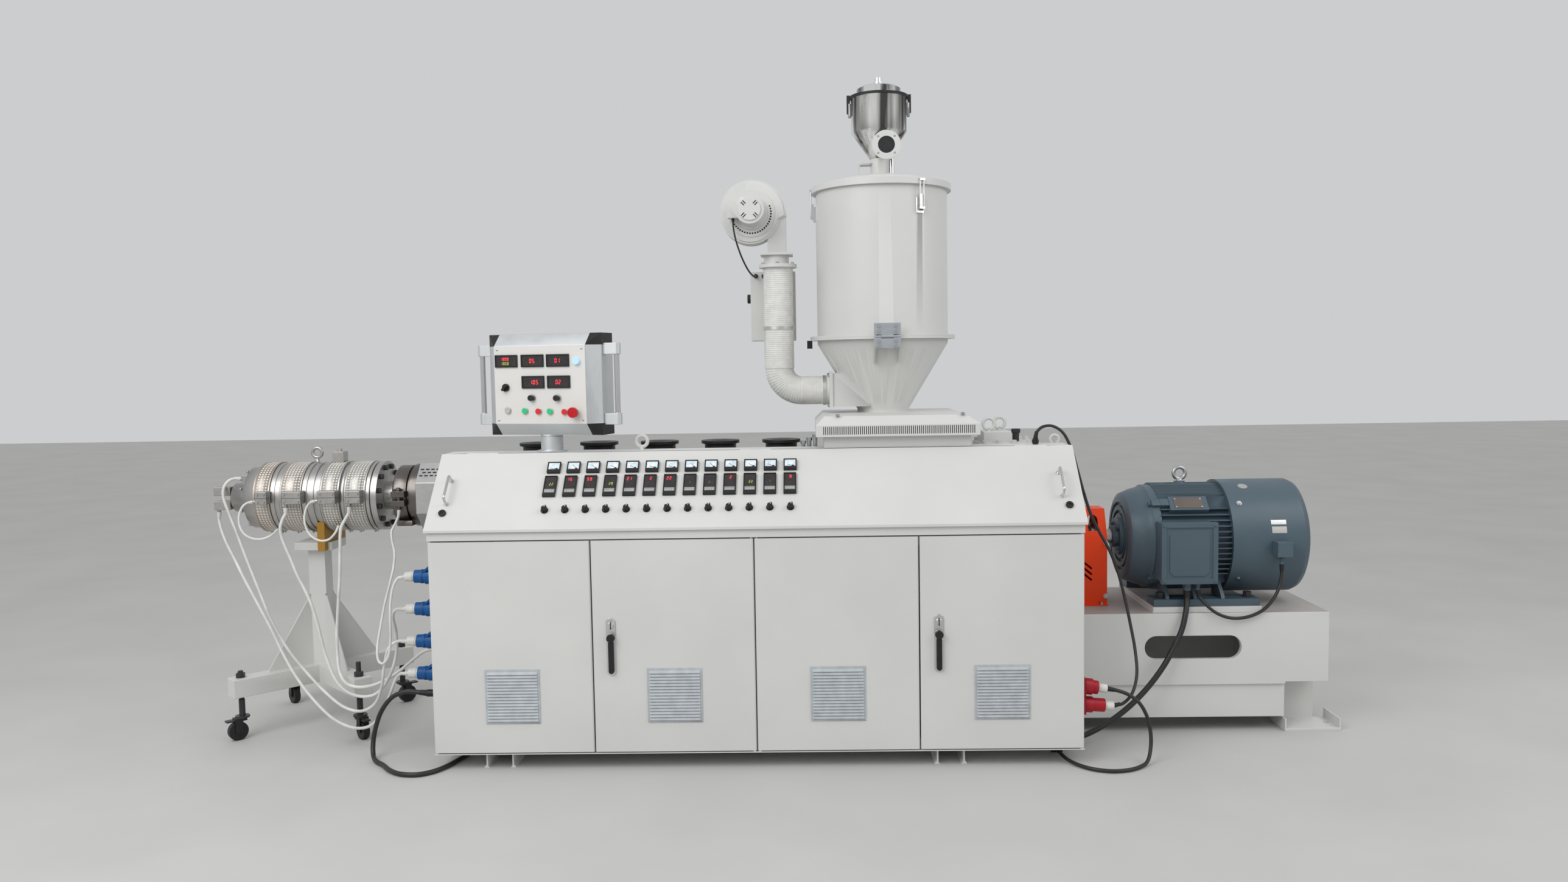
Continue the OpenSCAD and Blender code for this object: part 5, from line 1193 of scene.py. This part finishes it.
class EXTRUDER_OT_dryer(bpy.types.Operator):
    """Finish the hot air duct, its blower and switch box"""

    bl_idname = "extruder.dryer"
    bl_label = "Dryer"

    def execute(self, context):
        def duct(c, n):
            """The clamp and the inlet ring are bare, and the inlet plate is painted."""
            clamp = 1639.5 < c.z < 1654.5 and from_axis(c, DUCT_X, DUCT_Y) > 62.5
            if clamp or 1477 < c.x < 1493 and abs(n.x) < 0.5:
                return "bare_plate"
            return "white_paint" if c.x > 1504 else None

        dressed("dryer_duct", "wrap", duct, 0.0)
        turns = [((DUCT_X, DUCT_Y, z), (0, 0, 1)) for z in range(1484, 1886, 8) if not 1636 < z < 1658]
        bend = 92
        for k in range(1, 18):
            a = math.radians(5 * k)
            spot = (DUCT_X + bend - bend * math.cos(a), DUCT_Y, DUCT_Z + bend - bend * math.sin(a))
            turns.append((spot, (math.sin(a), 0, -math.cos(a)), 0.953))
        turns += [((x, DUCT_Y, DUCT_Z), (1, 0, 0), 0.953) for x in range(1396, 1474, 8)]
        repeats("duct_windings", "hoops", turns, MACHINE, "white_paint", "wrap",
                Radius=0.0612, Wire=0.0011, Steps=36)
        tabs = [((1504.8, DUCT_Y + y, DUCT_Z + z), (-1, 0, 0)) for y in (-62, 62) for z in (-62, 62)]
        bolts("inlet_bolts", tabs, 0.011, 0.006, 0.008)

        dressed("dryer_blower", "white_paint", bevel=0.8)
        hub = (DUCT_X - 104, 2112)
        holes = ring_of((hub[0], 539.8, hub[1]), 81, 26, (0, -1, 0), 100, 190)
        discs("blower_holes", holes, 0.0036, 0.001, 10, "shadow", "black_plastic")
        slots = Shape()
        for k in range(4):
            turn = shifted(hub[0], 0, hub[1]) @ Matrix.Rotation(math.radians(90 * k + 45), 4, "Y")
            for x in (-6.5, 2.5):
                slots.box((x, 404.6, 25), (x + 4.0, 405.6, 42), "shadow", turn)
        built("blower_slots", slots, MACHINE, "black_plastic")
        rims = ring_of((DUCT_X, DUCT_Y, 1907), 70, 6, (0, 0, 1), 30)
        bolts("blower_bolts", rims, 0.010, 0.005, 0.007)

        def gland(c, n):
            """The switch's knob and the two glands."""
            entry = c.y < DUCT_Y + 80.5 and c.x < DUCT_X - 45 and c.z > 1855
            return "black_plastic" if c.x < DUCT_X - 119.5 or entry else None

        dressed("dryer_box", "white_paint", gland, 2.0)
        return {"FINISHED"}


class EXTRUDER_OT_die(bpy.types.Operator):
    """Finish the die, its heater bands with their perforations, the stand and the casters"""

    bl_idname = "extruder.die"
    bl_label = "Die and stand"

    def execute(self, context):
        dressed("die_body", "steel", bevel=0.0)
        dressed("die_bands", "heater_steel", bevel=0.0)
        # The clamp ring on the die's neck is darker steel: a painted reflection of dark surroundings on a
        # round steel ring.
        dressed("die_neck", "steel", lambda c, n: "dark_steel" if -301 < c.x < -212 else None, 1.0)
        dressed("die_plugs", "plug_steel", bevel=3.0)

        def levelling(c, n):
            """The levelling bolts, above and below the legs."""
            far = from_axis(c, STAND_X, AXIS_Y) > 300
            return "black_bolt" if c.z > 255.5 and far or c.z < 179.5 else None

        dressed("die_stand", "white_paint", levelling, 2.5)
        dressed("die_saddle", "yellow_paint", bevel=2.0)
        dressed("casters", "black_plastic", lambda c, n: "black_bolt" if c.z > 79 else None, 1.0)
        seams = Shape()
        for low, high in PLUGS:
            seams.box((low - 0.4, 451.6, 982.0), (high + 0.4, 480.0, 984.0), "dark_steel")
            seams.box((low - 0.4, 462.0, 957.5), (low + 5.0, 478.0, 1010.6), "dark_steel")
        built("plug_seams", seams, MACHINE, "steel")
        screws = [((x, 452, z), (0, -1, 0))
                  for low, high in PLUGS for x in (low + 11, high - 11) for z in (969, 998)]
        bolts("plug_screws", screws, 0.009, 0.004, 0.0062, thickness=0.001)
        dots = []
        pitch = context.scene.extruder_fasteners.band_pitch / MM
        for low, high in BANDS:
            columns = int((high - low - 20) // pitch) + 1
            first = (low + high) / 2 - pitch * (columns - 1) / 2
            around = int(2 * math.pi * 146 / pitch)
            for column in range(columns):
                dots += [round_axis(first + pitch * column, SCREW_Z, 146.1, 2 * math.pi * k / around)
                         for k in range(around) if k % 19]
        discs("band_perforations", dots, 0.0038, 0.0008, 6, "mica")
        ring = ring_of((-372, AXIS_Y, SCREW_Z), 124, 12, (1, 0, 0), 15)
        bolts("flange_bolts", ring, 0.019, 0.012, 0.0115, "black_bolt", "black_plastic")
        tip = ring_of((-946, AXIS_Y, SCREW_Z), 121, 8, (-1, 0, 0), 22.5)
        bolts("tip_bolts", tip, 0.010, 0.007, 0.0065)
        tabs = [round_axis(x, SCREW_Z, 148, math.radians(d))
                for low, high in BANDS for x in (low + 12, high - 12) for d in (175, 185)]
        bolts("band_screws", tabs, 0.008, 0.006, 0.006)
        return {"FINISHED"}


class EXTRUDER_OT_outlets(bpy.types.Operator):
    """Finish the heater sockets, the supply plugs and the water fittings"""

    bl_idname = "extruder.outlets"
    bl_label = "Sockets and plugs"

    def execute(self, context):
        def socket(c, n):
            """White glands on the sockets, zinc plates below the cabinet, and black glands elsewhere."""
            if c.x < -50.5 and c.z > 300 and (c.x < -99.5 or abs(c.z - 400) < 20):
                return "white_gland"
            if abs(c.z - 400) < 20 and abs(c.y - 265) < 20:
                return "white_gland"
            if c.z < 60:
                return "zinc" if abs(n.z) > 0.9 or c.z > 38 else "black_plastic"
            return "black_plastic" if c.z > 1160 or c.z < 290 else None

        def plug(c, n):
            """The gland at each plug's end."""
            return "white_gland" if c.x > CAB_W + (86 if c.z < 246 else 61) else None

        dressed("heater_sockets", "blue_plastic", socket, 0.8)
        dressed("power_plugs", "red_plastic", plug, 0.8)
        dressed("water_fittings", "bolt_zinc", bevel=0.0)
        return {"FINISHED"}


class EXTRUDER_OT_stage(bpy.types.Operator):
    """Set the camera, the floor and the lights"""

    bl_idname = "extruder.stage"
    bl_label = "Set the stage"

    def execute(self, context):
        settings = context.scene.extruder_stage
        data = bpy.data.cameras.new("camera")
        data.sensor_width = 36.0
        data.lens = 26.27
        data.clip_end = 200.0
        camera = bpy.data.objects.new("camera", data)
        yaw, pitch, roll = 0.02316, -0.06896, 0.01652
        turn = Matrix.Rotation(yaw, 3, "Z") @ Matrix.Rotation(pitch, 3, "X") @ Matrix.Rotation(roll, 3, "Y")
        right, ahead, up = turn.col[0], turn.col[1], turn.col[2]
        pose = Matrix((right, up, -ahead)).transposed().to_4x4()
        pose.translation = at(1423.68, -4158.83, 1506.67)
        camera.matrix_world = pose
        context.scene.collection.objects.link(camera)
        context.scene.camera = camera

        bpy.ops.mesh.primitive_plane_add(size=settings.floor_size)
        floor = context.object
        floor.name = "floor"
        ground = Shader("pale_floor")
        patches = ground.noise(1.5, 5.0)
        ground.colour(ground.ramp(patches, (0.3, (0.50, 0.50, 0.49)), (0.7, (0.54, 0.54, 0.53))))
        ground.plain(Roughness=0.75)
        floor.data.materials.append(ground.material)

        world = bpy.data.worlds.new("studio")
        context.scene.world = world
        world.use_nodes = True
        nodes, links = world.node_tree.nodes, world.node_tree.links
        light = nodes["Background"]
        light.inputs["Color"].default_value = (1.0, 1.0, 1.0, 1.0)
        light.inputs["Strength"].default_value = settings.fill
        seen = nodes.new("ShaderNodeBackground")
        seen.inputs["Color"].default_value = (0.60, 0.61, 0.62, 1.0)
        path = nodes.new("ShaderNodeLightPath")
        mix = nodes.new("ShaderNodeMixShader")
        shown = path.outputs["Is Camera Ray"]
        for kind in ("Is Glossy Ray", "Is Transmission Ray"):
            either = nodes.new("ShaderNodeMath")
            either.operation = "MAXIMUM"
            links.new(shown, either.inputs[0])
            links.new(path.outputs[kind], either.inputs[1])
            shown = either.outputs["Value"]
        links.new(shown, mix.inputs["Fac"])
        links.new(light.outputs["Background"], mix.inputs[1])
        links.new(seen.outputs["Background"], mix.inputs[2])
        links.new(mix.outputs["Shader"], nodes["World Output"].inputs["Surface"])

        for name, place, aim, size, power in (
            ("key", (-1500, -3200, 4200), (1300, 300, 900), 3.5, settings.key_power),
            ("rim", (5200, -1500, 3600), (1700, 500, 900), 2.5, settings.key_power * 0.35),
        ):
            lamp = bpy.data.lights.new(name, "AREA")
            lamp.size = size
            lamp.energy = power
            holder = bpy.data.objects.new(name, lamp)
            holder.location = at(*place)
            holder.rotation_mode = "QUATERNION"
            holder.rotation_quaternion = (at(*aim) - at(*place)).to_track_quat("-Z", "Y")
            context.scene.collection.objects.link(holder)
        context.scene.view_settings.view_transform = "Standard"
        return {"FINISHED"}


class EXTRUDER_PT_panel(bpy.types.Panel):
    """Lists the steps of the finish"""

    bl_idname = "EXTRUDER_PT_panel"
    bl_label = "Plastic extruder"
    bl_space_type = "VIEW_3D"
    bl_region_type = "UI"
    bl_category = "Extruder"

    def draw(self, context):
        for group in GROUPS:
            settings = getattr(context.scene, group)
            for name in settings.__annotations__:
                self.layout.prop(settings, name)
        for operator in STEPS:
            self.layout.operator(operator.bl_idname)


GROUPS = {
    "extruder_paint": EXTRUDER_PG_paint, "extruder_readings": EXTRUDER_PG_readings,
    "extruder_fasteners": EXTRUDER_PG_fasteners, "extruder_stage": EXTRUDER_PG_stage,
}
STEPS = (
    EXTRUDER_OT_stage, EXTRUDER_OT_cables, EXTRUDER_OT_cabinet, EXTRUDER_OT_instruments,
    EXTRUDER_OT_control_box, EXTRUDER_OT_bed, EXTRUDER_OT_drive, EXTRUDER_OT_hopper, EXTRUDER_OT_dryer,
    EXTRUDER_OT_die, EXTRUDER_OT_outlets,
)


def register():
    for kind in (*GROUPS.values(), *STEPS, EXTRUDER_PT_panel):
        bpy.utils.register_class(kind)
    for name, kind in GROUPS.items():
        setattr(bpy.types.Scene, name, bpy.props.PointerProperty(type=kind))


def unregister():
    for name in GROUPS:
        delattr(bpy.types.Scene, name)
    for kind in (EXTRUDER_PT_panel, *reversed(STEPS), *reversed(tuple(GROUPS.values()))):
        bpy.utils.unregister_class(kind)


def main():
    register()
    for step in STEPS:
        section, name = step.bl_idname.split(".")
        getattr(getattr(bpy.ops, section), name)()


if __name__ == "__main__":
    main()
